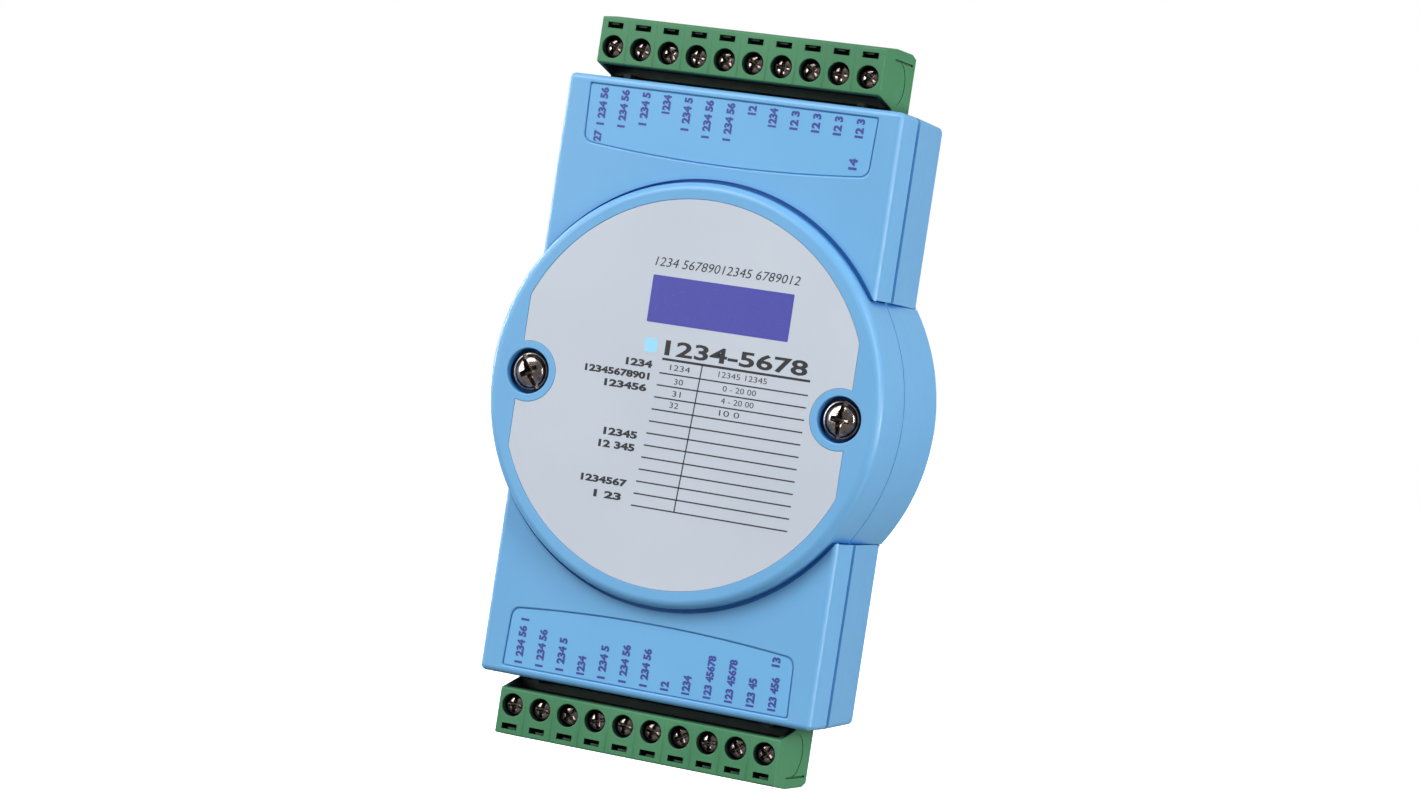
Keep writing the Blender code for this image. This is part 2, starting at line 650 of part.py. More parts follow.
def make_foot():
    """Rail foot: plate with a fixed hook for the rail's upper edge and a latch channel."""
    lip_z = RAIL_HALF - LIP_REACH
    profile = [
        (FOOT_FRONT, FOOT_BOTTOM_Z), (SEAT, FOOT_BOTTOM_Z), (SEAT, RAIL_HALF + 0.0003),
        (SEAT + LIP_GAP, RAIL_HALF + 0.0003), (SEAT + LIP_GAP, lip_z),
        (SEAT + LIP_GAP + 0.0012, lip_z - 0.0003), (SEAT + HOOK_DEPTH, lip_z + 0.0015),
        (SEAT + HOOK_DEPTH, RAIL_HALF + 0.0050), (SEAT, RAIL_HALF + 0.0080),
        (SEAT, FOOT_TOP_Z - 0.0015), (SEAT - 0.0015, FOOT_TOP_Z), (FOOT_FRONT, FOOT_TOP_Z)]
    foot = outline_object("din_adapter", profile, 2 * FOOT_HALF_X, facing_side(), parts,
                          foot_grey)
    bm = bmesh.new()
    add_block(bm, (-0.0103, CHANNEL_FLOOR, FOOT_BOTTOM_Z - 0.001),
              (0.0103, FLANGE_BACK, CHANNEL_TOP_Z))
    cut(foot, finish("channel_wide", bm, cutters))
    bm = bmesh.new()
    add_block(bm, (-0.0078, CHANNEL_FLOOR + 0.0005, FOOT_BOTTOM_Z - 0.002),
              (0.0078, SEAT + OVER, CHANNEL_TOP_Z))
    cut(foot, finish("channel_narrow", bm, cutters))
    bm = bmesh.new()
    add_block(bm, (-0.0029, CHANNEL_FLOOR - OVER, POST_Z[0]), (0.0029, SEAT - 0.0006, POST_Z[1]))
    join(foot, finish("spring_post", bm, cutters))
    cut(foot, drums("foot_screw_heads", FOOT_SCREWS, SEAT - 0.0024, SEAT + OVER, 0.0032,
                    sides=ROUND_SIDES))
    cut(foot, drums("foot_screw_holes", FOOT_SCREWS, FOOT_FRONT - OVER, SEAT - 0.0022, 0.0018,
                    sides=ROUND_SIDES))


def make_latch():
    """Sliding latch: flanged slider with a spring window, and a ramped nose for the rail."""
    bottom_z, top_z = -0.0520, -0.0180
    bm = bmesh.new()
    add_block(bm, (-0.0100, CHANNEL_FLOOR + GAP, bottom_z), (0.0100, FLANGE_BACK - GAP, top_z))
    latch = finish("din_latch", bm, parts, foot_grey)
    bm = bmesh.new()
    add_block(bm, (-0.0075, CHANNEL_FLOOR + 0.0006, bottom_z + OVER),
              (0.0075, SEAT - GAP, top_z - OVER))
    join(latch, finish("latch_web", bm, cutters))
    lip_z = -RAIL_HALF + LIP_REACH
    nose = [
        (SEAT - 0.0010, top_z - 0.0004), (SEAT + LIP_GAP, top_z - 0.0004),
        (SEAT + LIP_GAP, lip_z), (SEAT + LIP_GAP + 0.0008, lip_z),
        (SEAT + HOOK_DEPTH, -RAIL_HALF - 0.0012), (SEAT + HOOK_DEPTH, -RAIL_HALF - 0.0040),
        (SEAT - 0.0010, -RAIL_HALF - 0.0060)]
    join(latch, outline_object("latch_nose", nose, 0.0140, facing_side(), cutters))
    bm = bmesh.new()
    add_block(bm, (-0.0032, CHANNEL_FLOOR - OVER, WINDOW_Z[0]), (0.0032, SEAT + OVER, WINDOW_Z[1]))
    cut(latch, finish("latch_window", bm, cutters))
    bm = bmesh.new()
    add_block(bm, (-0.0035, CHANNEL_FLOOR - OVER, -0.0505), (0.0035, SEAT + OVER, -0.0490))
    cut(latch, finish("latch_tool_slot", bm, cutters))


def make_latch_spring():
    """Compression spring between the foot's post and the top of the latch's window."""
    turns, per_turn = 6, 10
    coil_radius, wire_radius = 0.00125, 0.00025
    low = POST_Z[1] + GAP + wire_radius
    high = WINDOW_Z[1] - GAP - wire_radius
    centre_y = (CHANNEL_FLOOR + SEAT - 0.0003) / 2
    curve = bpy.data.curves.new("latch_spring_wire", "CURVE")
    curve.dimensions = "3D"
    curve.bevel_depth = wire_radius
    curve.bevel_resolution = 1
    curve.use_fill_caps = True
    spline = curve.splines.new("POLY")
    count = turns * per_turn + 1
    spline.points.add(count - 1)
    for index, point in enumerate(spline.points):
        angle = 2 * math.pi * index / per_turn
        height = low + (high - low) * index / (count - 1)
        point.co = (coil_radius * math.cos(angle), centre_y + coil_radius * math.sin(angle),
                    height, 1)
    spring = bpy.data.objects.new("latch_spring", curve)
    curve.materials.append(screw_steel)
    parts.objects.link(spring)


make_front_cover()
make_labels()
make_rear_shell()
make_case_screws()
make_foot_screws()
for row_name, row_side in (("upper", 1), ("lower", -1)):
    make_plug(row_name, row_side)
    make_header(row_name, row_side)
make_clamps()
make_board()
make_foot()
make_latch()
make_latch_spring()
bpy.context.view_layer.update()
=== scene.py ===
"""Looks of the DIN-rail input/output module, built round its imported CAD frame.

Frame, in metres: X across the module, Z up along it, labelled front towards -Y.
"""

import math
import random

import bmesh
import bpy
from mathutils import Matrix, Vector


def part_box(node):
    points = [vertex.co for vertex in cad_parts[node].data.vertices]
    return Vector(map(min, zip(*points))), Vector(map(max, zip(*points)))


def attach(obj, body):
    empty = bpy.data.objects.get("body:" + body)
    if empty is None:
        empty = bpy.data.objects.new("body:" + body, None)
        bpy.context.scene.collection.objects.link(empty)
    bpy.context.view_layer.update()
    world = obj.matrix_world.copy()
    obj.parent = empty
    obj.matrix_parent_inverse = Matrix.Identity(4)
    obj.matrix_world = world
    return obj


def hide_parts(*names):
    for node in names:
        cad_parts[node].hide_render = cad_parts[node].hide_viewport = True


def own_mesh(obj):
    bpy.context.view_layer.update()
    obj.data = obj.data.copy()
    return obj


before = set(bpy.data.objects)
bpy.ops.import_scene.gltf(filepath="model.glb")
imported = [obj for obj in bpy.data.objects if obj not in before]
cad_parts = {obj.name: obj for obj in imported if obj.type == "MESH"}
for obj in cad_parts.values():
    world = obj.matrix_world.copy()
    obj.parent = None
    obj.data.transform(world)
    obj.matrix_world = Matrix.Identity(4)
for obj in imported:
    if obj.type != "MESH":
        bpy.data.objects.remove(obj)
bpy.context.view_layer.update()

# ---- places from the frame ----
COVER_LOW, COVER_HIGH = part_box("front_cover")
SHELL_LOW, SHELL_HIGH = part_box("rear_shell")
PLUG_LOW, PLUG_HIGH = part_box("upper_plug_housing")
HEADER_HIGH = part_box("upper_header")[1]
FILM_LOW, FILM_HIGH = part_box("face_label")
LEGEND_LOW, LEGEND_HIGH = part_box("upper_terminal_label")
SPRING_LOW, SPRING_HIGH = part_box("latch_spring")

FACE = PLUG_LOW.y  # flat front of the case, level with the plugs' fronts
BOSS_FACE = COVER_LOW.y
REAR = SHELL_HIGH.y
GAP = 0.0003  # clearance between parts that fit together
PARTING = SHELL_LOW.y - GAP / 2  # plane where the two case halves meet
HALF_HEIGHT = COVER_HIGH.z
BOSS_RADIUS = COVER_HIGH.x
HALF_WIDTH = 0.0300
WALL = 0.0020
PITCH = 0.00508
POLES = 10
POLE_X = [(number - (POLES - 1) / 2) * PITCH for number in range(POLES)]
CASE_SCREW_X = 0.0280
SCREW_Z = 0.0554  # axis of the clamp screws, above or below the middle
OVER = 0.0002  # how far a cutter runs past the face it opens
SIDES = (-1, 1)  # left and right, or lower and upper


# ---- outlines, as lists of (across, up) ----
def polar(centre, radius, angles):
    """Points round a centre, at angles in radians."""
    return [(centre[0] + radius * math.cos(t), centre[1] + radius * math.sin(t)) for t in angles]


def full_turn(steps):
    return [2 * math.pi * step / steps for step in range(steps)]


def quarter_turn(steps):
    return [math.pi / 2 * step / steps for step in range(steps + 1)]


def circle(radius, facets, centre=(0.0, 0.0)):
    return polar(centre, radius, full_turn(facets))


def arc(centre, radius, start, end, steps):
    """Points from the angle start to end, in degrees."""
    angles = [math.radians(start + (end - start) * step / steps) for step in range(steps + 1)]
    return polar(centre, radius, angles)


def square(half, centre):
    x, y = centre
    return [(x - half, y - half), (x + half, y - half), (x + half, y + half), (x - half, y + half)]


def rectangle(half_across, half_up, radius, steps=5, centre=(0.0, 0.0)):
    """A rectangle with round corners."""
    across, up = half_across - radius, half_up - radius
    corners = [(across, up, 0), (-across, up, 90), (-across, -up, 180), (across, -up, 270)]
    points = []
    for a, b, start in corners:
        points += arc((centre[0] + a, centre[1] + b), radius, start, start + 90, steps)
    return points


def rounded(corners):
    """Corners are (across, up, radius); each one with a radius becomes an arc."""
    points = []
    for index, (a, b, radius) in enumerate(corners):
        here = Vector((a, b))
        if radius == 0:
            points.append((a, b))
            continue
        before = Vector(corners[index - 1][:2])
        after = Vector(corners[(index + 1) % len(corners)][:2])
        first, second = (before - here).normalized(), (after - here).normalized()
        half = first.angle(second) / 2
        centre = here + (first + second).normalized() * radius / math.sin(half)
        start = (here + first * radius / math.tan(half) - centre).normalized()
        end = (here + second * radius / math.tan(half) - centre).normalized()
        points += [tuple(centre + radius * start.slerp(end, step / 5)) for step in range(6)]
    return points


FILM_RADIUS, FILM_FLAT_X, NOTCH_RADIUS = 0.0321, 0.0295, 0.0051
FILM_STEPS, NOTCH_STEPS = 90, 36


def film_outline(grow):
    """The round label: flats left and right, and a notch round each case screw."""
    radius, flat, notch = FILM_RADIUS + grow, FILM_FLAT_X + grow, NOTCH_RADIUS - grow
    corner = math.degrees(math.acos(flat / radius))
    mouth = math.degrees(math.acos((flat - CASE_SCREW_X) / notch))
    points = arc((0, 0), radius, corner, 180 - corner, FILM_STEPS)
    points += arc((-CASE_SCREW_X, 0), notch, 180 - mouth, mouth - 180, NOTCH_STEPS)
    points += arc((0, 0), radius, 180 + corner, 360 - corner, FILM_STEPS)
    points += arc((CASE_SCREW_X, 0), notch, 360 - mouth, mouth, NOTCH_STEPS)
    return points


PANEL_HALF_X, PANEL_INNER_HALF_X = 0.0259, 0.0256
PANEL_OUTER_Z, PANEL_INNER_Z = 0.0491, 0.0393
PANEL_BOW, BOW_STEPS = 0.0013, 12  # bulge of the inner edge towards the boss
PANEL_CORNER, PANEL_OUTER_CORNER = 0.0016, 0.0004


def panel_outline(grow, side):
    """Legend panel: straight outer edge, inner edge bowed towards the boss."""
    inner_x, outer_x = PANEL_INNER_HALF_X + grow, PANEL_HALF_X + grow
    outer_z, inner_z = PANEL_OUTER_Z + grow, PANEL_INNER_Z - grow
    corners = [(outer_x, outer_z, PANEL_OUTER_CORNER), (-outer_x, outer_z, PANEL_OUTER_CORNER),
               (-inner_x, inner_z, PANEL_CORNER)]
    for step in range(1, BOW_STEPS):
        across = -1 + 2 * step / BOW_STEPS
        corners.append((across * inner_x, inner_z - PANEL_BOW * (1 - across ** 2), 0))
    corners.append((inner_x, inner_z, PANEL_CORNER))
    return [(x, side * z) for x, z in rounded(corners)]


# ---- meshes ----
SHARP_ANGLE = 32  # degrees; a steeper edge is shaded sharp
WELD_DISTANCE = 2e-6


def loft(bm, rings):
    """A closed skin through rings of points, with a face on each end."""
    rows = [[bm.verts.new(point) for point in ring] for ring in rings]
    count = len(rows[0])
    for first, second in zip(rows, rows[1:]):
        for here in range(count):
            after = (here + 1) % count
            bm.faces.new((first[here], first[after], second[after], second[here]))
    bm.faces.new(rows[0])
    bm.faces.new(rows[-1])


def at_x(outline, x):
    return [(x, y, z) for y, z in outline]


def at_y(outline, y):
    return [(x, y, z) for x, z in outline]


def at_z(outline, z):
    return [(x, y, z) for x, y in outline]


def box(low, high):
    """Rings of a plain box, for a cutter."""
    outline = [(low[0], low[2]), (high[0], low[2]), (high[0], high[2]), (low[0], high[2])]
    return [at_y(outline, low[1]), at_y(outline, high[1])]


def rim(plane, inwards, radius, steps):
    """(place, inset) pairs of a rounded rim, from the plane inwards."""
    return [(plane + inwards * radius * (1 - math.cos(t)), radius * (1 - math.sin(t)))
            for t in quarter_turn(steps)]


def lip(plane, outwards, depth, radius):
    """(place, growth) pairs of a hole with a rounded lip, from its floor to past its mouth."""
    pairs = [(plane - outwards * depth, 0.0)]
    pairs += [(plane - outwards * radius * (1 - math.sin(t)), radius * (1 - math.cos(t)))
              for t in quarter_turn(4)]
    return pairs + [(plane + outwards * OVER, radius)]


def middle_and_half(low, high):
    return (low + high) / 2, (high - low) / 2


def spans(inner, outer):
    """(low, high) on either side of the middle, between two distances from it."""
    return [sorted((side * inner, side * outer)) for side in SIDES]


def show(name, mesh, finish=None):
    made = bpy.data.objects.new(name, mesh)
    bpy.context.scene.collection.objects.link(made)
    if finish:
        mesh.materials.append(finish)
    mesh.shade_smooth()
    mesh.set_sharp_from_angle(angle=math.radians(SHARP_ANGLE))
    return made


def piece(name, bm, finish=None):
    """Turn a bmesh into a shown object."""
    bmesh.ops.recalc_face_normals(bm, faces=bm.faces)
    mesh = bpy.data.meshes.new(name)
    bm.to_mesh(mesh)
    bm.free()
    return show(name, mesh, finish)


def shaped(name, *lofts, finish=None):
    """An object made of one or more closed skins that don't meet."""
    bm = bmesh.new()
    for rings in lofts:
        loft(bm, rings)
    return piece(name, bm, finish)


def cut(name, *lofts):
    return shaped(name, *lofts), "DIFFERENCE"


def join(name, *lofts):
    return shaped(name, *lofts), "UNION"


def evaluated_mesh(made):
    bpy.context.view_layer.update()
    ready = made.evaluated_get(bpy.context.evaluated_depsgraph_get())
    return bpy.data.meshes.new_from_object(ready)


def carve(name, body, tools, finish):
    """Change a body by tools from cut and join, in order, and return the finished piece."""
    for tool, operation in tools:
        step = body.modifiers.new(tool.name, "BOOLEAN")
        step.operation = operation
        step.object = tool
        step.solver = "EXACT"
    mesh = evaluated_mesh(body)
    for used in [body] + [tool for tool, _ in tools]:
        bpy.data.objects.remove(used, do_unlink=True)
    bm = bmesh.new()
    bm.from_mesh(mesh)
    bmesh.ops.remove_doubles(bm, verts=bm.verts, dist=WELD_DISTANCE)
    bm.to_mesh(mesh)
    bm.free()
    mesh.name = name
    mesh.materials.clear()
    made = show(name, mesh, finish)
    even_shading(made)
    return made


def even_shading(made):
    """Large flat faces keep flat normals beside their rounded edges."""
    made.modifiers.new("even_shading", "WEIGHTED_NORMAL").keep_sharp = True


def place(made, body, slot, *nodes):
    """Ride on a body, and stand for CAD nodes; slot is not used."""
    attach(made, body)
    if nodes:
        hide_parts(*nodes)


def place_both_ends(upper, body, slot, node=None):
    """Place an upper piece, and a copy turned half round the Y axis for the lower end.

    In the names of the body and the node, {} stands for upper or lower.
    """
    mesh = upper.data.copy()
    mesh.transform(Matrix.Rotation(math.pi, 4, "Y"))
    lower = show(upper.name.replace("upper", "lower"), mesh)
    even_shading(lower)
    for made, row in ((upper, "upper"), (lower, "lower")):
        nodes = [node.format(row)] if node else []
        place(made, body.format(row), slot, *nodes)


# ---- materials ----
NOISE_LOW, NOISE_HIGH = 0.3, 0.7  # levels that most of a noise texture lies between


def linear(red, green, blue):
    """sRGB levels, 0 to 255, as the linear colour that a shader takes."""
    shares = [level / 255 for level in (red, green, blue)]
    return tuple(s / 12.92 if s <= 0.04045 else ((s + 0.055) / 1.055) ** 2.4 for s in shares) + (1,)


def set_inputs(node, values):
    for name, value in dict(values).items():
        node.inputs[name].default_value = value


def add_node(tree, kind, values=(), **sources):
    """A new shader node, with values on some of its inputs and links into others."""
    node = tree.nodes.new("ShaderNode" + kind)
    set_inputs(node, values)
    for name, source in sources.items():
        tree.links.new(source, node.inputs[name])
    return node


def remap(tree, source, from_low, from_high, to_low=0.0, to_high=1.0):
    """Move values between two levels to lie between two others."""
    levels = {"From Min": from_low, "From Max": from_high, "To Min": to_low, "To Max": to_high}
    return add_node(tree, "MapRange", levels, Value=source).outputs["Result"]


class Finish:
    """A procedural material: a Principled shader with its textures in object space.

    Texture scales are in repeats per metre, and bump depths in metres.
    """

    def __init__(self, name, roughness, metallic=0.0, specular=0.5):
        self.material = bpy.data.materials.new(name)
        self.material.use_nodes = True
        self.tree = self.material.node_tree
        self.shader = self.tree.nodes["Principled BSDF"]
        set_inputs(self.shader, {"Metallic": metallic, "Roughness": roughness,
                                 "Specular IOR Level": specular})
        self.space = self.add("TexCoord").outputs["Object"]

    def add(self, kind, values=(), **sources):
        return add_node(self.tree, kind, values, **sources)

    def feed(self, name, source):
        """Link a source to an input of the shader."""
        self.tree.links.new(source, self.shader.inputs[name])

    def noise(self, scale, detail, stretch=None):
        space = self.space
        if stretch:
            space = self.add("Mapping", {"Scale": stretch}, Vector=space).outputs["Vector"]
        node = self.add("TexNoise", {"Scale": scale, "Detail": detail}, Vector=space)
        return node.outputs["Fac"]

    def mottle(self, scale, detail, low=0.0, high=1.0, stretch=None):
        """Noise whose usual levels run from low to high."""
        noise = self.noise(scale, detail, stretch)
        return remap(self.tree, noise, NOISE_LOW, NOISE_HIGH, low, high)

    def occlusion_shade(self, reach, low, high):
        """Mask for painted shade: 1 in the open and less in recesses, between two occlusion levels.
        """
        node = self.add("AmbientOcclusion", {"Distance": reach})
        node.samples = 8
        return remap(self.tree, node.outputs["AO"], low, high)

    def blend(self, share, first, second):
        """A mix of two colours, each of them sRGB levels or another node's output."""
        node = self.add("Mix")
        node.data_type = "RGBA"
        for socket, colour in ((node.inputs[6], first), (node.inputs[7], second)):
            if isinstance(colour, tuple):
                socket.default_value = linear(*colour)
            else:
                self.tree.links.new(colour, socket)
        self.tree.links.new(share, node.inputs[0])
        return node.outputs[2]

    def coat(self, colour, roughness):
        self.feed("Base Color", colour)
        self.feed("Roughness", roughness)

    def bump(self, source, depth, strength, **under):
        """Bumps on the shader, over the Normal output of other bumps where one is given."""
        node = self.add("Bump", {"Distance": depth, "Strength": strength}, Height=source, **under)
        self.feed("Normal", node.outputs["Normal"])
        return node.outputs["Normal"]


def moulded_plastic(name, light, dark, roughness, grain, depth, recess_shade=None, reach=None):
    """Satin moulded plastic: faint flow marks, an eroded grain and a few handling marks.

    A recess colour, where given, is painted shade that recesses darken to; reach is its spread.
    """
    made = Finish(name, roughness, specular=0.35)
    tone = made.blend(made.mottle(55, 4.0, stretch=(1.0, 1.0, 0.45)), dark, light)
    if recess_shade:
        # painted shade: ambient occlusion darkens recesses and creases towards the recess colour
        tone = made.blend(made.occlusion_shade(reach, 0.35, 0.85), recess_shade, tone)
    made.coat(tone, made.mottle(420, 3.0, roughness - 0.02, roughness + 0.03))
    wave = made.bump(made.noise(160, 2.0), 0.00002, 0.35)
    made.bump(made.noise(grain, 2.0), depth, 0.5, Normal=wave)
    return made.material


def printed_film(name, light, dark, roughness):
    """Film with a slight ripple and a fine texture."""
    made = Finish(name, roughness)
    made.coat(made.blend(made.mottle(38, 5.0), dark, light),
              made.mottle(900, 4.0, roughness - 0.05, roughness + 0.07))
    ripple = made.bump(made.noise(70, 1.0), 0.00003, 0.5)
    made.bump(made.noise(5200, 2.0), 0.000006, 0.6, Normal=ripple)
    return made.material


def ink(name, colour, worn):
    """Print that is worn through in small spots."""
    made = Finish(name, 0.45)
    spots = remap(made.tree, made.noise(2600, 3.0), 0.62, 0.8)
    made.coat(made.blend(spots, colour, worn), made.mottle(1500, 3.0, 0.38, 0.55))
    made.bump(made.noise(4200, 2.0), 0.000004, 0.6)
    return made.material


def turned_metal(name, light, dark, hollow, roughness, pitch):
    """Plated metal with faint turning rings about its own Y axis, and painted shade in its
    recesses.
    """
    made = Finish(name, roughness, metallic=1.0)
    wave = made.add("TexWave", {"Scale": pitch, "Distortion": 1.2, "Detail": 2.0},
                    Vector=made.space)
    wave.wave_type = "RINGS"
    wave.rings_direction = "Y"
    tone = made.blend(made.mottle(700, 5.0), dark, light)
    # painted shade: recesses darken towards the colour hollow by ambient occlusion
    made.coat(made.blend(made.occlusion_shade(0.0012, 0.25, 0.7), hollow, tone),
              made.mottle(2400, 4.0, roughness - 0.07, roughness + 0.12))
    rings = made.bump(wave.outputs["Fac"], 0.000008, 0.35)
    made.bump(made.noise(2100, 4.0), 0.00002, 0.4, Normal=rings)
    return made.material


def plain_metal(name, light, dark, roughness):
    """Drawn or stamped metal with fine lines along X."""
    made = Finish(name, roughness, metallic=1.0)
    made.coat(made.blend(made.mottle(900, 4.0), dark, light),
              made.mottle(2600, 3.0, roughness - 0.06, roughness + 0.1))
    made.bump(made.noise(1800, 5.0, stretch=(6.0, 1.0, 1.0)), 0.00001, 0.4)
    return made.material


# The recess colours below are painted shade in creases, gaps and pockets.
case_blue = moulded_plastic("case_blue", (107, 164, 208), (101, 159, 204), 0.33, 3400, 0.000012,
                            recess_shade=(34, 108, 182), reach=0.0022)
label_grey = printed_film("label_grey", (183, 191, 201), (176, 185, 196), 0.42)
legend_blue = printed_film("legend_blue", (103, 166, 212), (98, 161, 208), 0.4)
board_green = printed_film("board_green", (26, 96, 58), (20, 82, 48), 0.4)
plug_green = moulded_plastic("plug_green", (68, 128, 90), (57, 115, 78), 0.5, 2600, 0.00002,
                             recess_shade=(8, 22, 24), reach=0.004)
# The header's green is darker than the plug's, as painted shade in the gap under the plug.
header_green = moulded_plastic("header_green", (50, 104, 70), (42, 92, 60), 0.5, 2600, 0.00002,
                               recess_shade=(6, 12, 20), reach=0.009)
foot_grey = moulded_plastic("foot_grey", (62, 66, 72), (54, 58, 64), 0.5, 2200, 0.00002,
                            recess_shade=(34, 36, 40), reach=0.0012)
chip_black = moulded_plastic("chip_black", (30, 30, 33), (24, 24, 27), 0.55, 4200, 0.000015)
ink_black = ink("ink_black", (34, 34, 40), (84, 86, 94))
ink_indigo = ink("ink_indigo", (64, 66, 156), (86, 90, 172))
ink_violet = ink("ink_violet", (52, 62, 142), (70, 92, 168))
ink_sky = ink("ink_sky", (142, 206, 240), (160, 214, 240))
# The third colour is the painted shade in the screws' recesses.
screw_steel = turned_metal("screw_steel", (198, 188, 182), (130, 114, 106), (30, 16, 14), 0.16,
                           pitch=900)
clamp_nickel = plain_metal("clamp_nickel", (214, 204, 176), (190, 178, 146), 0.3)
pin_tin = plain_metal("pin_tin", (220, 220, 216), (196, 196, 194), 0.28)
spring_steel = plain_metal("spring_steel", (196, 192, 188), (164, 160, 156), 0.32)


# ---- case ----
BOSS_FACETS, HOLLOW_FACETS = 192, 96
CORNER_RADIUS, LEAST_CORNER, HOLLOW_CORNER = 0.0010, 0.0003, 0.0010
FRONT_RIM, BOSS_RIM, REAR_RIM = 0.0010, 0.0015, 0.0003
BOSS_PARTING_RIM = 0.0001
REAR_DRAFT, REAR_BOSS_RADIUS = 0.0020, 0.0346
REBATE_WIDTH, REBATE_DEPTH = 0.00032, 0.00075  # beside the body's parting groove
SHADOW_GAP_WIDTH, SHADOW_GAP_DEPTH = 0.0007, 0.0007  # sunk line round the boss's foot
FLANK_Z = 0.0198
FLANK_CUT_X, PAST_FLANK_X = HALF_WIDTH - 0.003, HALF_WIDTH + 0.001
FLANK_SEAM, FLANK_SEAM_X = 0.00014, 0.0279  # sunk line across each flank, beside the boss
TONGUE_INSET = 0.0011  # lip of the rear shell that closes the parting groove
TONGUE_GAP, TONGUE_ROOT = 0.00002, 0.0005
OPENING_HALF_X, OPENING_DEPTH = 0.0270, 0.0045
OPENING_FRONT, OPENING_BACK = FACE + 0.0047, FACE + 0.0156
OPENING_CORNER, OPENING_LIP = 0.0004, 0.0002
LABEL_RECESS, LABEL_LIP, LABEL_GAP = 0.00034, 0.00010, 0.00003
PANEL_RECESS, PANEL_LIP, PANEL_GAP = 0.00033, 0.00025, 0.00018
WELL_RADIUS, WELL_DEPTH, WELL_LIP = 0.0038, 0.0027, 0.0002
COLUMN_RADIUS, COLUMN_HOLE_RADIUS = 0.0052, 0.0019


def body_rings(pairs, draft_start=None):
    """Rings of the rectangular body through (plane, inset) pairs, drafted from a plane."""
    rings = []
    for y, inset in pairs:
        lean = 0.0 if draft_start is None else (y - draft_start) / (REAR - draft_start)
        outline = rectangle(HALF_WIDTH - inset - lean * REAR_DRAFT, HALF_HEIGHT - inset,
                            max(CORNER_RADIUS - inset, LEAST_CORNER), steps=8)
        rings.append(at_y(outline, y))
    return rings


def drum_rings(pairs, back_radius=BOSS_RADIUS):
    """Rings of the boss through (plane, inset) pairs."""
    first, last = pairs[0][0], pairs[-1][0]
    rings = []
    for y, inset in pairs:
        lean = (y - first) / (last - first)
        radius = BOSS_RADIUS + (back_radius - BOSS_RADIUS) * lean
        rings.append(at_y(circle(radius - inset, BOSS_FACETS), y))
    return rings


def column(x, z, front, back, radius, facets):
    return [at_y(circle(radius, facets, (x, z)), y) for y in (front, back)]


def well(x, z, plane, depth, radius, edge, facets):
    """A round blind hole with a rounded lip, opening towards -Y."""
    return [at_y(circle(radius + grow, facets, (x, z)), y)
            for y, grow in lip(plane, -1, depth, edge)]


def rebate(plane, inwards):
    """(plane, inset) pairs of the shallow step beside the parting groove."""
    return [(plane, REBATE_DEPTH), (plane + inwards * REBATE_WIDTH, REBATE_DEPTH),
            (plane + inwards * (REBATE_WIDTH + OVER), 0.0)]


def flank_cuts(name):
    """The body stops short of the boss on both sides, which leaves a step down to it."""
    return cut(name, *[box((low, FACE - OVER, -FLANK_Z), (high, REAR + OVER, FLANK_Z))
                       for low, high in spans(FLANK_CUT_X, PAST_FLANK_X)])


def flank_seams(name):
    """A thin sunk line beside each of those four steps."""
    return cut(name, *[box((low, FACE + SHADOW_GAP_DEPTH, foot), (high, REAR + OVER, top))
                       for low, high in spans(FLANK_SEAM_X, PAST_FLANK_X)
                       for foot, top in spans(FLANK_Z, FLANK_Z + FLANK_SEAM)])


def hollow(name, start, end, draft=0.0):
    """The inside of a case half, narrowed by the draft at its end."""
    half_x, half_z = HALF_WIDTH - WALL, HALF_HEIGHT - WALL
    return cut(name, [at_y(rectangle(half_x, half_z, HOLLOW_CORNER), start),
                      at_y(rectangle(half_x - draft, half_z, HOLLOW_CORNER), end)])


def end_openings(name):
    """Openings in both ends that the headers stand in, with eased edges."""
    middle, half_y = middle_and_half(OPENING_FRONT, OPENING_BACK)
    return cut(name, *[[at_z(rectangle(OPENING_HALF_X + grow, half_y + grow, OPENING_CORNER,
                                       centre=(0, middle)), side * z)
                        for z, grow in lip(HALF_HEIGHT, 1, OPENING_DEPTH, OPENING_LIP)]
                       for side in SIDES])


def make_case_front():
    back = PARTING - GAP / 2
    outside = rim(FACE, 1, FRONT_RIM, 8) + rebate(back, -1)[::-1]
    drum = rim(BOSS_FACE, 1, BOSS_RIM, 8) + rim(back, -1, BOSS_PARTING_RIM, 3)[::-1]
    inside = BOSS_FACE + WALL
    screws = [side * CASE_SCREW_X for side in SIDES]
    tools = [
        cut("shadow_gap", column(0, 0, FACE - OVER, FACE + SHADOW_GAP_DEPTH,
                                 BOSS_RADIUS + SHADOW_GAP_WIDTH, BOSS_FACETS)),
        flank_cuts("front_flank_cuts"),
        join("boss", drum_rings(drum)),
        flank_seams("front_flank_seams"),
        hollow("hollow", FACE + WALL, back + OVER),
        cut("boss_hollow", column(0, 0, inside, back + 2 * OVER, BOSS_RADIUS - WALL,
                                  HOLLOW_FACETS)),
        join("columns", *[column(x, 0, inside - OVER, back, COLUMN_RADIUS, 40) for x in screws]),
        cut("wells", *[well(x, 0, BOSS_FACE, WELL_DEPTH, WELL_RADIUS, WELL_LIP, 64)
                       for x in screws]),
        cut("holes", *[column(x, 0, BOSS_FACE + WELL_DEPTH - OVER, back + OVER,
                              COLUMN_HOLE_RADIUS, 24) for x in screws]),
        end_openings("front_openings"),
        cut("label_recess", [at_y(film_outline(LABEL_GAP + grow), y) for y, grow in
                             lip(BOSS_FACE, -1, LABEL_RECESS, LABEL_LIP)]),
        cut("panel_recesses", *[[at_y(panel_outline(grow, side), y) for y, grow in
                                 lip(FACE, -1, PANEL_RECESS, PANEL_LIP)] for side in SIDES]),
    ]
    made = carve("case_front", shaped("front_body", body_rings(outside)), tools, case_blue)
    place(made, "case", "case_plastic", "front_cover")


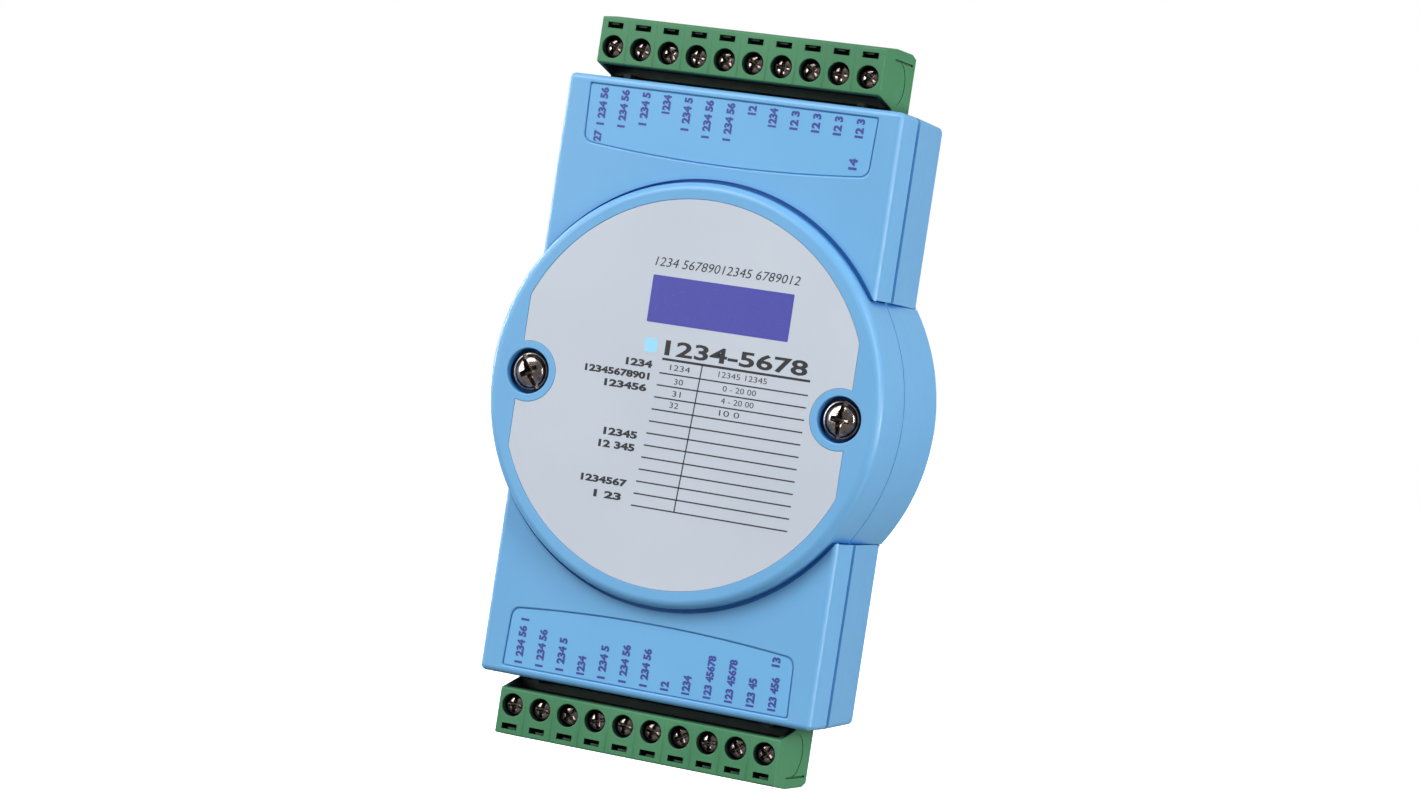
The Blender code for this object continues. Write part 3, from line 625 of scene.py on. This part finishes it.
def make_case_back():
    front = PARTING + GAP / 2
    rear_rim = rim(REAR, -1, REAR_RIM, 5)[::-1]
    outside = rebate(front, 1) + rear_rim
    drum = rim(front, 1, BOSS_PARTING_RIM, 3) + rear_rim
    tip = PARTING - GAP / 2 + TONGUE_GAP
    tongue = [(tip, TONGUE_INSET), (front + TONGUE_ROOT, TONGUE_INSET)]
    inside = REAR - WALL
    tools = [
        flank_cuts("back_flank_cuts"),
        join("back_boss", drum_rings(drum, REAR_BOSS_RADIUS)),
        flank_seams("back_flank_seams"),
        join("tongue_body", body_rings(tongue)),
        join("tongue_boss", drum_rings(tongue)),
        hollow("back_hollow", tip - OVER, inside, REAR_DRAFT),
        cut("back_boss_hollow", column(0, 0, tip - 2 * OVER, inside - OVER,
                                       REAR_BOSS_RADIUS - WALL, HOLLOW_FACETS)),
        end_openings("back_openings"),
    ]
    body = shaped("back_body", body_rings(outside, draft_start=front))
    place(carve("case_back", body, tools, case_blue), "case", "case_plastic", "rear_shell")


# ---- printed films ----
INK_DEPTH = 0.000008
FACE_FILM_EDGE, LEGEND_FILM_EDGE = 0.00006, 0.00004
TABLE_LEFT, TABLE_RIGHT, TABLE_TOP = -0.0042, 0.0221, 0.0054
TABLE_LEAN = 0.066  # how fast the table's left edge moves out on its way down
FIRST_ROW, LAST_ROW, ROWS = 0.00307, -0.0191, 12
COLUMN_TOP_X, COLUMN_FOOT_X = 0.00303, 0.00194  # the rule between its two columns
TOP_RULE, ROW_RULE, COLUMN_RULE = 0.0004, 0.00023, 0.00021
# Placeholder text, as left, right and middle of each line, and its numbers.
SIDE_TEXT = (
    (-0.0106, -0.0058, 0.0042, "1234"), (-0.01775, -0.0060, 0.0022, "12345678901"),
    (-0.0139, -0.0062, 0.00025, "123456"), (-0.0127, -0.0066, -0.0077, "12345"),
    (-0.0133, -0.0067, -0.0098, "12 345"), (-0.0155, -0.0071, -0.01575, "1234567"),
    (-0.0128, -0.0078, -0.0181, "1 23"))
TABLE_TEXT = (
    (-0.0026, 0.0010, 0.0042, "1234"), (0.0061, 0.0147, 0.0043, "12345 12345"),
    (-0.0015, 0.0001, 0.0020, "30"), (0.0072, 0.0131, 0.0021, "0 - 20 00"),
    (-0.0015, 0.0, 0.0, "31"), (0.0072, 0.0130, 0.0001, "4 - 20 00"),
    (-0.0017, -0.0001, -0.0019, "32"), (0.0072, 0.0108, -0.0019, "10 0"))

MARK_FIRST_X, MARK_PITCH = -0.0231, 0.00383
MARK_HEIGHT, MARK_BOLD = 0.0015, 0.00012
CHARACTER = 0.00079  # length of one character of a terminal's mark
COMMON_MARKS = ("1 234 56", "1 234 56", "1 234 5", "1234", "1 234 5", "1 234 56", "1 234 56",
                "12", "1234")
UPPER_MARKS = COMMON_MARKS + ("12 3", "12 3", "12 3", "12 3")
LOWER_MARKS = COMMON_MARKS + ("123 45678", "123 45678", "123 45", "123 456")
# Pin numbers of the first and last terminals, as text, x, low end and length.
UPPER_NUMERALS = (("27", -0.0232, 0.0395, 0.0019), ("14", 0.0226, 0.0402, 0.0019))
LOWER_NUMERALS = (("1", -0.02295, -0.0412, 0.0004), ("13", 0.0225, -0.0412, 0.0016))


def write(bm, text, corner, length, height, plane, upwards=False, bold=0.0, slant=0.0):
    """Raised lettering between a lower left corner and a length and height along its line."""
    curve = bpy.data.curves.new("lettering", "FONT")
    curve.body = text
    curve.size = height * 1.4
    curve.offset = bold
    curve.shear = slant
    curve.resolution_u = 3
    curve.extrude = INK_DEPTH
    guide = bpy.data.objects.new("lettering", curve)
    bpy.context.scene.collection.objects.link(guide)
    mesh = evaluated_mesh(guide)
    bpy.data.objects.remove(guide, do_unlink=True)
    across = [vert.co.x for vert in mesh.vertices]
    tall = [vert.co.y for vert in mesh.vertices]
    fit = Matrix.Diagonal((length / (max(across) - min(across)), height / (max(tall) - min(tall)),
                           1, 1)) @ Matrix.Translation((-min(across), -min(tall), 0))
    turn = Matrix.Rotation(math.pi / 2 if upwards else 0, 4, "Z")
    face = Matrix.Translation((corner[0], plane, corner[1])) @ Matrix.Rotation(math.pi / 2, 4, "X")
    mesh.transform(face @ turn @ fit)
    bm.from_mesh(mesh)
    bpy.data.meshes.remove(mesh)


def inked(outline, plane):
    """Rings of a printed area."""
    return [at_y(outline, plane - INK_DEPTH), at_y(outline, plane + INK_DEPTH)]


def stroke(bm, first, second, width, plane):
    """A printed line of even width between two points."""
    start, end = Vector(first), Vector(second)
    along = (end - start).normalized()
    aside = Vector((-along.y, along.x)) * width / 2
    corners = [start + aside, start - aside, end - aside, end + aside]
    loft(bm, inked([tuple(corner) for corner in corners], plane))


def make_film(name, outline, edge, back, finish, slot, node):
    """A label with an eased front edge; outline gives its shape for an inset."""
    film = shaped(name, [at_y(outline(inset), y) for y, inset in edge + [(back, 0.0)]],
                  finish=finish)
    even_shading(film)
    place(film, "case", slot, node)


def make_face_film():
    front = FILM_LOW.y
    make_film("face_film", lambda inset: film_outline(-inset), rim(front, 1, FACE_FILM_EDGE, 2),
              FILM_HIGH.y, label_grey, "label_film", "face_label")

    bm = bmesh.new()
    stroke(bm, (TABLE_LEFT, TABLE_TOP), (TABLE_RIGHT, TABLE_TOP), TOP_RULE, front)
    for row in range(ROWS):
        z = FIRST_ROW + (LAST_ROW - FIRST_ROW) * row / (ROWS - 1)
        left = TABLE_LEFT - (TABLE_TOP - z) * TABLE_LEAN
        stroke(bm, (left, z), (TABLE_RIGHT, z), ROW_RULE, front)
    stroke(bm, (COLUMN_TOP_X, TABLE_TOP), (COLUMN_FOOT_X, LAST_ROW), COLUMN_RULE, front)
    for lines, tall, bold in ((SIDE_TEXT, 0.00125, 0.00008), (TABLE_TEXT, 0.00095, 0.0)):
        for left, right, middle, text in lines:
            write(bm, text, (left, middle - tall / 2), right - left, tall, front, bold=bold)
    write(bm, "1234 56789012345 6789012", (-0.0080, 0.0204), 0.0258, 0.0015, front, slant=0.2)
    write(bm, "1234-5678", (-0.0040, 0.0060), 0.0254, 0.0026, front, bold=0.00009)
    place(piece("face_print", bm, ink_black), "case", "label_film")

    bar = rectangle(0.0126, 0.0039, 0.0002, centre=(0.0046, 0.0150))
    mark = rectangle(0.0011, 0.0011, 0.00005, centre=(-0.00656, 0.00735))
    for name, outline, finish in (("face_bar", bar, ink_indigo), ("face_square", mark, ink_sky)):
        place(shaped(name, inked(outline, front), finish=finish), "case", "label_film")


def make_legend(row, side, marks, outer_z, numerals):
    """A film in a legend panel, with the terminals' marks, which read upwards."""
    front = LEGEND_LOW.y
    make_film(row + "_legend_film", lambda inset: panel_outline(-PANEL_GAP - inset, side),
              [(front, LEGEND_FILM_EDGE), (front + LEGEND_FILM_EDGE, 0)], LEGEND_HIGH.y,
              legend_blue, "legend_film", row + "_terminal_label")
    lines = []
    for number, text in enumerate(marks):
        length = CHARACTER * len(text)
        low = outer_z - length if side > 0 else outer_z
        lines.append((text, MARK_FIRST_X + MARK_PITCH * number, low, length))
    bm = bmesh.new()
    for text, x, low, length in lines + list(numerals):
        write(bm, text, (x + MARK_HEIGHT / 2, low), length, MARK_HEIGHT, front, upwards=True,
              bold=MARK_BOLD)
    place(piece(row + "_legend_print", bm, ink_violet), "case", "legend_film")


# ---- screws ----
CASE_HEAD_RISE = 0.0003  # how far the case screws' heads stand before the CAD's
CROWN_SHARE = 0.80  # of a collared head's radius, taken by its dome
GROOVE_DEPTH, GROOVE_FLOOR = 0.0003, 0.00008
COLLAR = ((0.90, 0.00005), (0.95, 0.00008), (0.99, 0.00022))  # share of radius, drop
DRIVE_SLOT_HALF, DRIVE_SLOT_CORNER = 0.00036, 0.0001
HEAD_EASE, TIP_EASE = 0.0001, 0.0004


def cross(arm, half):
    """Outline of a cross recess: arms of a length and half width."""
    root = half * 1.25
    return [(arm, half), (root, root), (half, arm), (-half, arm), (-root, root), (-arm, half),
            (-arm, -half), (-root, -root), (-half, -arm), (half, -arm), (root, -root),
            (arm, -half)]


def screw_mesh(name, head, shank, recess, facets, collar=False):
    """A cross-recess pan-head screw, its head's top at the origin and its shank along +Y.

    The head is (radius, height, dome), the shank (radius, length), the recess (arm, depth).
    With a collar, a groove parts the dome from a rounded rim and a slot crosses the whole head.
    """
    head_radius, head_height, dome = head
    shank_radius, shank_length = shank
    arm, depth = recess
    crown = head_radius * (CROWN_SHARE if collar else 1.0)
    groove = dome + GROOVE_DEPTH
    end = head_height + shank_length
    profile = [(crown * (0.12 + 0.88 * math.sin(t)) if t else 0.0002, dome * (1 - math.cos(t)))
               for t in quarter_turn(6)]
    if collar:
        profile += [(crown, groove), (crown + GROOVE_FLOOR, groove)]
        profile += [(head_radius * share, dome + drop) for share, drop in COLLAR]
    profile += [(head_radius, head_height - HEAD_EASE), (head_radius - HEAD_EASE, head_height),
                (shank_radius, head_height), (shank_radius, end - TIP_EASE),
                (shank_radius - TIP_EASE, end)]
    body = shaped(name + "_body", [at_y(circle(radius, facets), y) for radius, y in profile])
    taper = ((-OVER, 1.06), (dome * 0.4, 1.0), (depth * 0.8, 0.72), (depth, 0.3))
    tools = [cut(name + "_recess", [at_y([(a * share, b * share)
                                          for a, b in cross(arm, arm * 0.26)], y)
                                    for y, share in taper])]
    if collar:
        slot = rectangle(head_radius + OVER, DRIVE_SLOT_HALF, DRIVE_SLOT_CORNER)
        tools.append(cut(name + "_slot", [at_y(slot, -OVER), at_y(slot, groove)]))
    made = carve(name, body, tools, screw_steel)
    mesh = made.data
    bpy.data.objects.remove(made, do_unlink=True)
    return mesh


def put_screw(node, mesh, position, turn, body, flip=0.0):
    """Stand a screw in for its CAD node, with its recess turned by an angle in degrees."""
    screw = show(node + "_head", mesh)
    screw.location = position
    screw.rotation_euler = (0, math.radians(turn), flip)
    even_shading(screw)
    place(screw, body, "screw_steel", node)


def make_screws():
    case_mesh = screw_mesh("case_screw_steel", head=(0.0032, 0.0022, 0.0008),
                           shank=(0.0014, 0.0170), recess=(0.0016, 0.0016), facets=72,
                           collar=True)
    for side, node, turn in ((-1, "case_screw_left", 59), (1, "case_screw_right", 94)):
        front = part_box(node)[0].y - CASE_HEAD_RISE
        put_screw(node, case_mesh, (side * CASE_SCREW_X, front, 0), turn, "case")
    foot_mesh = screw_mesh("foot_screw_steel", head=(0.0028, 0.0018, 0.0006),
                           shank=(0.0014, 0.0102), recess=(0.0017, 0.0013), facets=64)
    for node, turn in (("adapter_screw_left", 30), ("adapter_screw_right", 75)):
        low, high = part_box(node)
        put_screw(node, foot_mesh, ((low.x + high.x) / 2, high.y, 0), turn, "case", math.pi)
    clamp_mesh = screw_mesh("clamp_screw_steel", head=(0.00172, 0.0016, 0.0005),
                            shank=(0.0012, 0.0047), recess=(0.0013, 0.0010), facets=48)
    spin = random.Random(7)
    for row, side in (("upper", 1), ("lower", -1)):
        for number, x in enumerate(POLE_X, start=1):
            node = f"{row}_screw_{number:02d}"
            put_screw(node, clamp_mesh, (x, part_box(node)[0].y, side * SCREW_Z),
                      spin.uniform(0, 90), node)


# ---- terminal blocks ----
PLUG_BACK, PLUG_EDGE = FACE + 0.0145, 0.00022
UNDERSIDE_Z = (0.0527, 0.0511, 0.0509)  # at the front, the nose and the back
NOSE_FRONT, NOSE_BACK, NOSE_END_Z = FACE + 0.0063, FACE + 0.0140, 0.0430
FRONT_SLOPE, BACK_CHAMFER = (0.0055, 0.0007), (0.0018, 0.0006)  # depth and drop of the top
PIN_Y, PIN_HALF = FACE + 0.0102, 0.0005
HEAD_HOLE_DEPTH, HEAD_HOLE_RADIUS, HEAD_HOLE_LIP = 0.0029, 0.00190, 0.00014
SHANK_HOLE_RADIUS = 0.0016
POCKET_HALF_X, POCKET_Z = 0.0246, (0.0502, 0.0526)
POCKET_FRONT, POCKET_BACK = FACE + 0.0008, FACE + 0.0058
RIB_X, RIB_HALF, RIB_FRONT, RIB_Z = 0.0210, 0.0006, FACE + 0.0036, (0.0506, 0.0514)
CAVITY_HALF, CAVITY_Z = 0.00225, (0.0531, 0.0577)
CAVITY_FRONT, CAVITY_BACK = FACE + 0.0034, FACE + 0.0130
WIRE_Y, WIRE_HALF = FACE + 0.00985, (0.0019, 0.00225)
WIRE_DEPTH, WIRE_CORNER, WIRE_LIP = 0.0040, 0.0005, 0.0003
SLOT_Z, SLOT_HALF, SLOT_LEDGE = 0.0590, (0.0014, 0.0005), (0.0004, 0.00016)
SLOT_LEDGE_DEPTH, SLOT_DEPTH, SLOT_INSET = 0.0006, 0.0022, 0.00001
SEAM_HALF, SEAM_LOW_Z, SEAM_DEPTH = 0.00012, 0.0520, 0.000025
END_LINE_Y, END_LINE_Z = (FACE + 0.0048, FACE + 0.0131), (0.05895, 0.05930)
END_PAD_RADIUS, END_PAD_Y = 0.0036, FACE + 0.0072
END_LINE_DEPTH, END_PAD_DEPTH = 0.00025, 0.00010
SOCKET_FLARE, FLARE_DEPTH = 0.0003, 0.0004


def plug_body():
    """The housing without its openings: a prism with every edge eased."""
    outer = PLUG_HIGH.z
    outline = [
        (FACE, UNDERSIDE_Z[0]), (NOSE_FRONT, UNDERSIDE_Z[1]), (NOSE_FRONT, NOSE_END_Z),
        (NOSE_BACK, NOSE_END_Z), (NOSE_BACK, UNDERSIDE_Z[2]), (PLUG_BACK, UNDERSIDE_Z[2]),
        (PLUG_BACK, outer - BACK_CHAMFER[1]), (PLUG_BACK - BACK_CHAMFER[0], outer),
        (FACE + FRONT_SLOPE[0], outer), (FACE, outer - FRONT_SLOPE[1])]
    bm = bmesh.new()
    loft(bm, [at_x(outline, x) for x in (PLUG_LOW.x, PLUG_HIGH.x)])
    bmesh.ops.recalc_face_normals(bm, faces=bm.faces)
    bmesh.ops.bevel(bm, geom=list(bm.edges), offset=PLUG_EDGE, segments=3, profile=0.5,
                    affect="EDGES", clamp_overlap=True)
    return piece("plug_body", bm)


def test_slots():
    """A slot in every pole: deep in the shape of an L, with a shallow ledge in its corner."""
    half_x, half_z = SLOT_HALF
    ledge_x, ledge_z = SLOT_LEDGE
    open_x, open_z = half_x - SLOT_INSET, half_z - SLOT_INSET
    wide, deep = [], []
    for x in POLE_X:
        wide.append(box((x - half_x, FACE - OVER, SLOT_Z - half_z),
                        (x + half_x, FACE + SLOT_LEDGE_DEPTH, SLOT_Z + half_z)))
        outline = [(x - open_x, SLOT_Z - open_z), (x + open_x, SLOT_Z - open_z),
                   (x + open_x, SLOT_Z + open_z), (x + ledge_x, SLOT_Z + open_z),
                   (x + ledge_x, SLOT_Z + ledge_z), (x - open_x, SLOT_Z + ledge_z)]
        deep.append([at_y(outline, FACE - 2 * OVER), at_y(outline, FACE + SLOT_DEPTH)])
    return [cut("slots_wide", *wide), cut("slots_deep", *deep)]


def pole_seams():
    """Shallow grooves between the poles, on the front face."""
    middles = [x + PITCH / 2 for x in POLE_X[:-1]]
    return cut("seams", *[box((x - SEAM_HALF, FACE - OVER, SEAM_LOW_Z),
                              (x + SEAM_HALF, FACE + SEAM_DEPTH, PLUG_HIGH.z + OVER))
                          for x in middles])


def end_lines():
    """A moulded line sunk into both end faces."""
    return cut("end_lines", *[
        box((low, END_LINE_Y[0], END_LINE_Z[0]), (high, END_LINE_Y[1], END_LINE_Z[1]))
        for low, high in spans(PLUG_HIGH.x - END_LINE_DEPTH, PLUG_HIGH.x + OVER)])


def end_pads():
    """A shallow round pad sunk into both end faces."""
    ring = circle(END_PAD_RADIUS, 40, (END_PAD_Y, SCREW_Z))
    return cut("end_pads", *[[at_x(ring, x) for x in ends] for ends in
                             spans(PLUG_HIGH.x - END_PAD_DEPTH, PLUG_HIGH.x + OVER)])


def wire_entries():
    """Openings for the wires, with rounded lips."""
    return cut("wire_entries", *[
        [at_z(rectangle(WIRE_HALF[0] + grow, WIRE_HALF[1] + grow, WIRE_CORNER,
                        centre=(x, WIRE_Y)), z)
         for z, grow in lip(PLUG_HIGH.z, 1, WIRE_DEPTH, WIRE_LIP)] for x in POLE_X])


def pin_sockets():
    """Square holes up the nose into each cavity, flared at the mouth."""
    half = PIN_HALF + GAP
    flare = ((NOSE_END_Z - OVER, SOCKET_FLARE), (NOSE_END_Z, SOCKET_FLARE),
             (NOSE_END_Z + FLARE_DEPTH, 0.0), (CAVITY_Z[0] + FLARE_DEPTH, 0.0))
    return cut("pin_sockets", *[[at_z(square(half + grow, (x, PIN_Y)), z) for z, grow in flare]
                                for x in POLE_X])


def make_plugs():
    tools = [
        cut("pocket", box((-POCKET_HALF_X, POCKET_FRONT, POCKET_Z[0]),
                          (POCKET_HALF_X, POCKET_BACK, POCKET_Z[1]))),
        join("ribs", *[box((x - RIB_HALF, RIB_FRONT, RIB_Z[0]),
                           (x + RIB_HALF, NOSE_FRONT + OVER, RIB_Z[1])) for x in (-RIB_X, RIB_X)]),
        pole_seams(),
        cut("head_holes", *[well(x, SCREW_Z, FACE, HEAD_HOLE_DEPTH, HEAD_HOLE_RADIUS,
                                 HEAD_HOLE_LIP, 48) for x in POLE_X]),
        cut("shank_holes", *[column(x, SCREW_Z, FACE + HEAD_HOLE_DEPTH - OVER,
                                    CAVITY_FRONT + OVER, SHANK_HOLE_RADIUS, 24) for x in POLE_X]),
        cut("cavities", *[box((x - CAVITY_HALF, CAVITY_FRONT, CAVITY_Z[0]),
                              (x + CAVITY_HALF, CAVITY_BACK, CAVITY_Z[1])) for x in POLE_X]),
        wire_entries(),
        pin_sockets(),
        *test_slots(),
        end_pads(),
        end_lines(),
    ]
    upper = carve("upper_plug", plug_body(), tools, plug_green)
    place_both_ends(upper, "{}_plug", "plug_plastic", "{}_plug_housing")


CONTACT_Z, CONTACT_HALF, CONTACT_CORNER = 0.0512, (0.0010, 0.0060), 0.0003
CONTACT_FRONT, CONTACT_BACK = FACE + 0.0077, FACE + 0.0083


def make_contacts():
    """The strip in each pole that the wire is clamped against, and that the pin touches."""
    skins = [[at_y(rectangle(*CONTACT_HALF, CONTACT_CORNER, steps=3, centre=(x, CONTACT_Z)), y)
              for y in (CONTACT_FRONT, CONTACT_BACK)] for x in POLE_X]
    strips = shaped("upper_contacts", *skins, finish=clamp_nickel)
    place_both_ends(strips, "{}_plug", "clamp_nickel")


SHROUD_FRONT, SHROUD_BACK = FACE + 0.0050, FACE + 0.0153
SHROUD_LOW_Z, SHROUD_HIGH_Z, SHROUD_FLOOR = 0.0415, HEADER_HIGH.z, 0.0012
SHROUD_CORNER, SHROUD_EDGE, SOCKET_CORNER = 0.0005, 0.0002, 0.0003
PIN_TIP_Z, PIN_TIP_HALF, PIN_TIP_LENGTH = SHROUD_HIGH_Z - 0.0015, 0.00025, 0.0005
PIN_BEND_Z, PIN_FOOT_Z = SHROUD_LOW_Z - 0.0013, SHROUD_LOW_Z - 0.0018


def make_headers():
    """The shroud that a plug's nose goes into, and its pins, which turn down into the board."""
    middle, half_y = middle_and_half(SHROUD_FRONT, SHROUD_BACK)
    outside = (rim(SHROUD_HIGH_Z, -1, SHROUD_EDGE, 3)
               + rim(SHROUD_LOW_Z, 1, SHROUD_EDGE, 3)[::-1])
    body = shaped("header_body", [
        at_z(rectangle(HEADER_HIGH.x - inset, half_y - inset, SHROUD_CORNER, centre=(0, middle)), z)
        for z, inset in outside])
    middle, half_y = middle_and_half(NOSE_FRONT, NOSE_BACK)
    socket = [at_z(rectangle(PLUG_HIGH.x + GAP + grow, half_y + GAP + grow, SOCKET_CORNER,
                             centre=(0, middle)), z)
              for z, grow in lip(SHROUD_HIGH_Z, 1, SHROUD_HIGH_Z - SHROUD_LOW_Z - SHROUD_FLOOR,
                                 SHROUD_EDGE)]
    upper = carve("upper_shroud", body, [cut("header_socket", socket)], header_green)
    place_both_ends(upper, "case", "header_plastic", "{}_header")

    skins = []
    for x in POLE_X:
        skins.append([at_z(square(half, (x, PIN_Y)), z) for z, half in
                      ((PIN_TIP_Z, PIN_TIP_HALF), (PIN_TIP_Z - PIN_TIP_LENGTH, PIN_HALF),
                       (PIN_FOOT_Z, PIN_HALF))])
        tail = square(PIN_HALF, (x, PIN_BEND_Z))
        skins.append([at_y(tail, PIN_Y + PIN_HALF), at_y(tail, HEADER_HIGH.y)])
    place_both_ends(shaped("upper_pins", *skins, finish=pin_tin), "case", "header_plastic",
                    "{}_header")


# ---- latch spring ----
WIRE_RADIUS, COIL_RADIUS = 0.00025, 0.00125
COIL_TURNS, TURN_STEPS, WIRE_FACETS = 7, 28, 12


def make_spring():
    """Round-wire spring whose end coils close up, seated on the post and under the latch."""
    low, high = SPRING_LOW.z + WIRE_RADIUS, SPRING_HIGH.z - WIRE_RADIUS
    middle = (SPRING_LOW.y + SPRING_HIGH.y) / 2
    closed = 2 * WIRE_RADIUS * 1.02  # rise of a turn that touches the next one
    pitch = (high - low - 2 * closed) / (COIL_TURNS - 2)
    rings = []
    for step in range(COIL_TURNS * TURN_STEPS + 1):
        turn = step / TURN_STEPS
        angle = 2 * math.pi * turn
        rise = closed * min(turn, 1) + pitch * min(max(turn - 1, 0), COIL_TURNS - 2)
        rise += closed * max(turn - COIL_TURNS + 1, 0)
        out = Vector((math.cos(angle), math.sin(angle), 0))
        spine = Vector((0, middle, low + rise)) + out * COIL_RADIUS
        rings.append([
            tuple(spine + WIRE_RADIUS * (out * math.cos(t) + Vector((0, 0, math.sin(t)))))
            for t in full_turn(WIRE_FACETS)])
    spring = shaped("spring_coil", rings, finish=spring_steel)
    place(spring, "case", "screw_steel", "latch_spring")
    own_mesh(spring)


# ---- CAD parts that stay ----
FOOT_EASE, EASE_ANGLE = 0.00022, 35


def finish_node(name, finish):
    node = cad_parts[name]
    for slot in node.material_slots:
        slot.link = "OBJECT"
        slot.material = finish
    return node


def ease_edges(node):
    node.modifiers.new("weld", "WELD").merge_threshold = WELD_DISTANCE
    bevel = node.modifiers.new("eased_edges", "BEVEL")
    bevel.width = FOOT_EASE
    bevel.segments = 2
    bevel.limit_method = "ANGLE"
    bevel.angle_limit = math.radians(EASE_ANGLE)
    even_shading(node)


def finish_nodes():
    for name in ("din_adapter", "din_latch"):
        ease_edges(finish_node(name, foot_grey))
    finish_node("main_board", board_green)
    for name in ("dc_converter", "microcontroller", "buffer_capacitor"):
        finish_node(name, chip_black)
    for row in ("upper", "lower"):
        for number in range(1, POLES + 1):
            finish_node(f"{row}_cage_{number:02d}", clamp_nickel)


# ---- stage ----
FLOOR_Z, FLOOR_REACH = -0.0760, 6.0
WHITE = (1, 1, 1, 1)


def to_camera(tree, path, shown, otherwise):
    """One shader's output for the camera, and another's for all other rays."""
    mix = add_node(tree, "MixShader", Fac=path.outputs["Is Camera Ray"])
    tree.links.new(otherwise, mix.inputs[1])
    tree.links.new(shown, mix.inputs[2])
    return mix.outputs["Shader"]


def background(strength, mirrored):
    """White to the camera; to the object, a bright ceiling over a dark floor.

    Reflections see it dimmed by the factor mirrored, which gives metal its contrast.
    """
    world = bpy.data.worlds.new("studio")
    bpy.context.scene.world = world
    world.use_nodes = True
    tree = world.node_tree
    tree.nodes.clear()
    direction = add_node(tree, "TexCoord").outputs["Generated"]
    height = add_node(tree, "SeparateXYZ", Vector=direction).outputs["Z"]
    path = add_node(tree, "LightPath")
    level = remap(tree, height, -0.6, 0.9, 0.16, 1.0)
    power = remap(tree, path.outputs["Is Glossy Ray"], 0.0, 1.0, strength, strength * mirrored)
    ambient = add_node(tree, "Background", Color=level, Strength=power)
    white = add_node(tree, "Background", {"Color": WHITE, "Strength": 1.0})
    surface = to_camera(tree, path, white.outputs["Background"], ambient.outputs["Background"])
    add_node(tree, "OutputWorld", Surface=surface)


def floor():
    """A plain pale floor, which throws little light back up."""
    bm = bmesh.new()
    bm.faces.new([bm.verts.new(point) for point in at_z(square(FLOOR_REACH, (0, 0)), FLOOR_Z)])
    ground = bpy.data.materials.new("floor_white")
    ground.use_nodes = True
    tree = ground.node_tree
    shader = tree.nodes["Principled BSDF"]
    set_inputs(shader, {"Base Color": (0.94, 0.94, 0.94, 1), "Roughness": 0.9,
                        "Emission Color": WHITE, "Emission Strength": 0.6})
    dim = add_node(tree, "BsdfDiffuse", {"Color": (0.16, 0.16, 0.16, 1)})
    surface = to_camera(tree, add_node(tree, "LightPath"), shader.outputs["BSDF"],
                        dim.outputs["BSDF"])
    tree.links.new(surface, tree.nodes["Material Output"].inputs["Surface"])
    piece("floor", bm, ground)


def lamp(name, kind, position, power):
    """A light turned to shine from a position on the middle of the object."""
    light = bpy.data.lights.new(name, kind)
    light.energy = power
    made = bpy.data.objects.new(name, light)
    made.rotation_euler = Vector(position).to_track_quat("Z", "Y").to_euler()
    bpy.context.scene.collection.objects.link(made)
    return made


def sun(direction, strength, spread):
    lamp("window_light", "SUN", direction, strength).data.angle = math.radians(spread)


def softbox(name, position, size, power):
    made = lamp(name, "AREA", position, power)
    made.location = position
    made.visible_camera = False
    made.data.shape = "RECTANGLE"
    made.data.size, made.data.size_y = size


def camera():
    yaw, pitch, roll = (math.radians(angle) for angle in (22.80, 0.64, 8.68))
    distance = 0.6311
    target = Vector((0.0041, FACE, 0.00006))
    ahead = Vector((-math.sin(yaw) * math.cos(pitch), math.cos(yaw) * math.cos(pitch),
                    -math.sin(pitch)))
    level = Vector((math.cos(yaw), math.sin(yaw), 0))
    above = level.cross(ahead)
    right = math.cos(roll) * level + math.sin(roll) * above
    up = -math.sin(roll) * level + math.cos(roll) * above
    lens = bpy.data.cameras.new("camera")
    lens.lens = 97.76
    lens.sensor_width = 36.0
    made = bpy.data.objects.new("camera", lens)
    axes = Matrix((right, up, -ahead)).transposed().to_4x4()
    made.matrix_world = Matrix.Translation(target - distance * ahead) @ axes
    bpy.context.scene.collection.objects.link(made)
    bpy.context.scene.camera = made


make_case_front()
make_case_back()
make_face_film()
make_legend("upper", 1, UPPER_MARKS, 0.0486, UPPER_NUMERALS)
make_legend("lower", -1, LOWER_MARKS, -0.04835, LOWER_NUMERALS)
make_screws()
make_plugs()
make_contacts()
make_headers()
make_spring()
finish_nodes()

background(strength=0.55, mirrored=0.65)
floor()
sun(direction=(-0.35, -0.62, 0.70), strength=1.6, spread=28)
softbox("left_softbox", (-0.68, -0.68, 0.20), size=(0.5, 0.9), power=6.3)
softbox("right_softbox", (0.84, 0.10, -0.36), size=(0.5, 0.9), power=33.0)
softbox("right_rim_light", (0.76, -0.40, 0.30), size=(0.06, 0.70), power=5.2)
softbox("left_rim_light", (-0.90, 0.12, 0.15), size=(0.05, 0.60), power=6.0)
camera()
bpy.context.scene.view_settings.view_transform = "Standard"
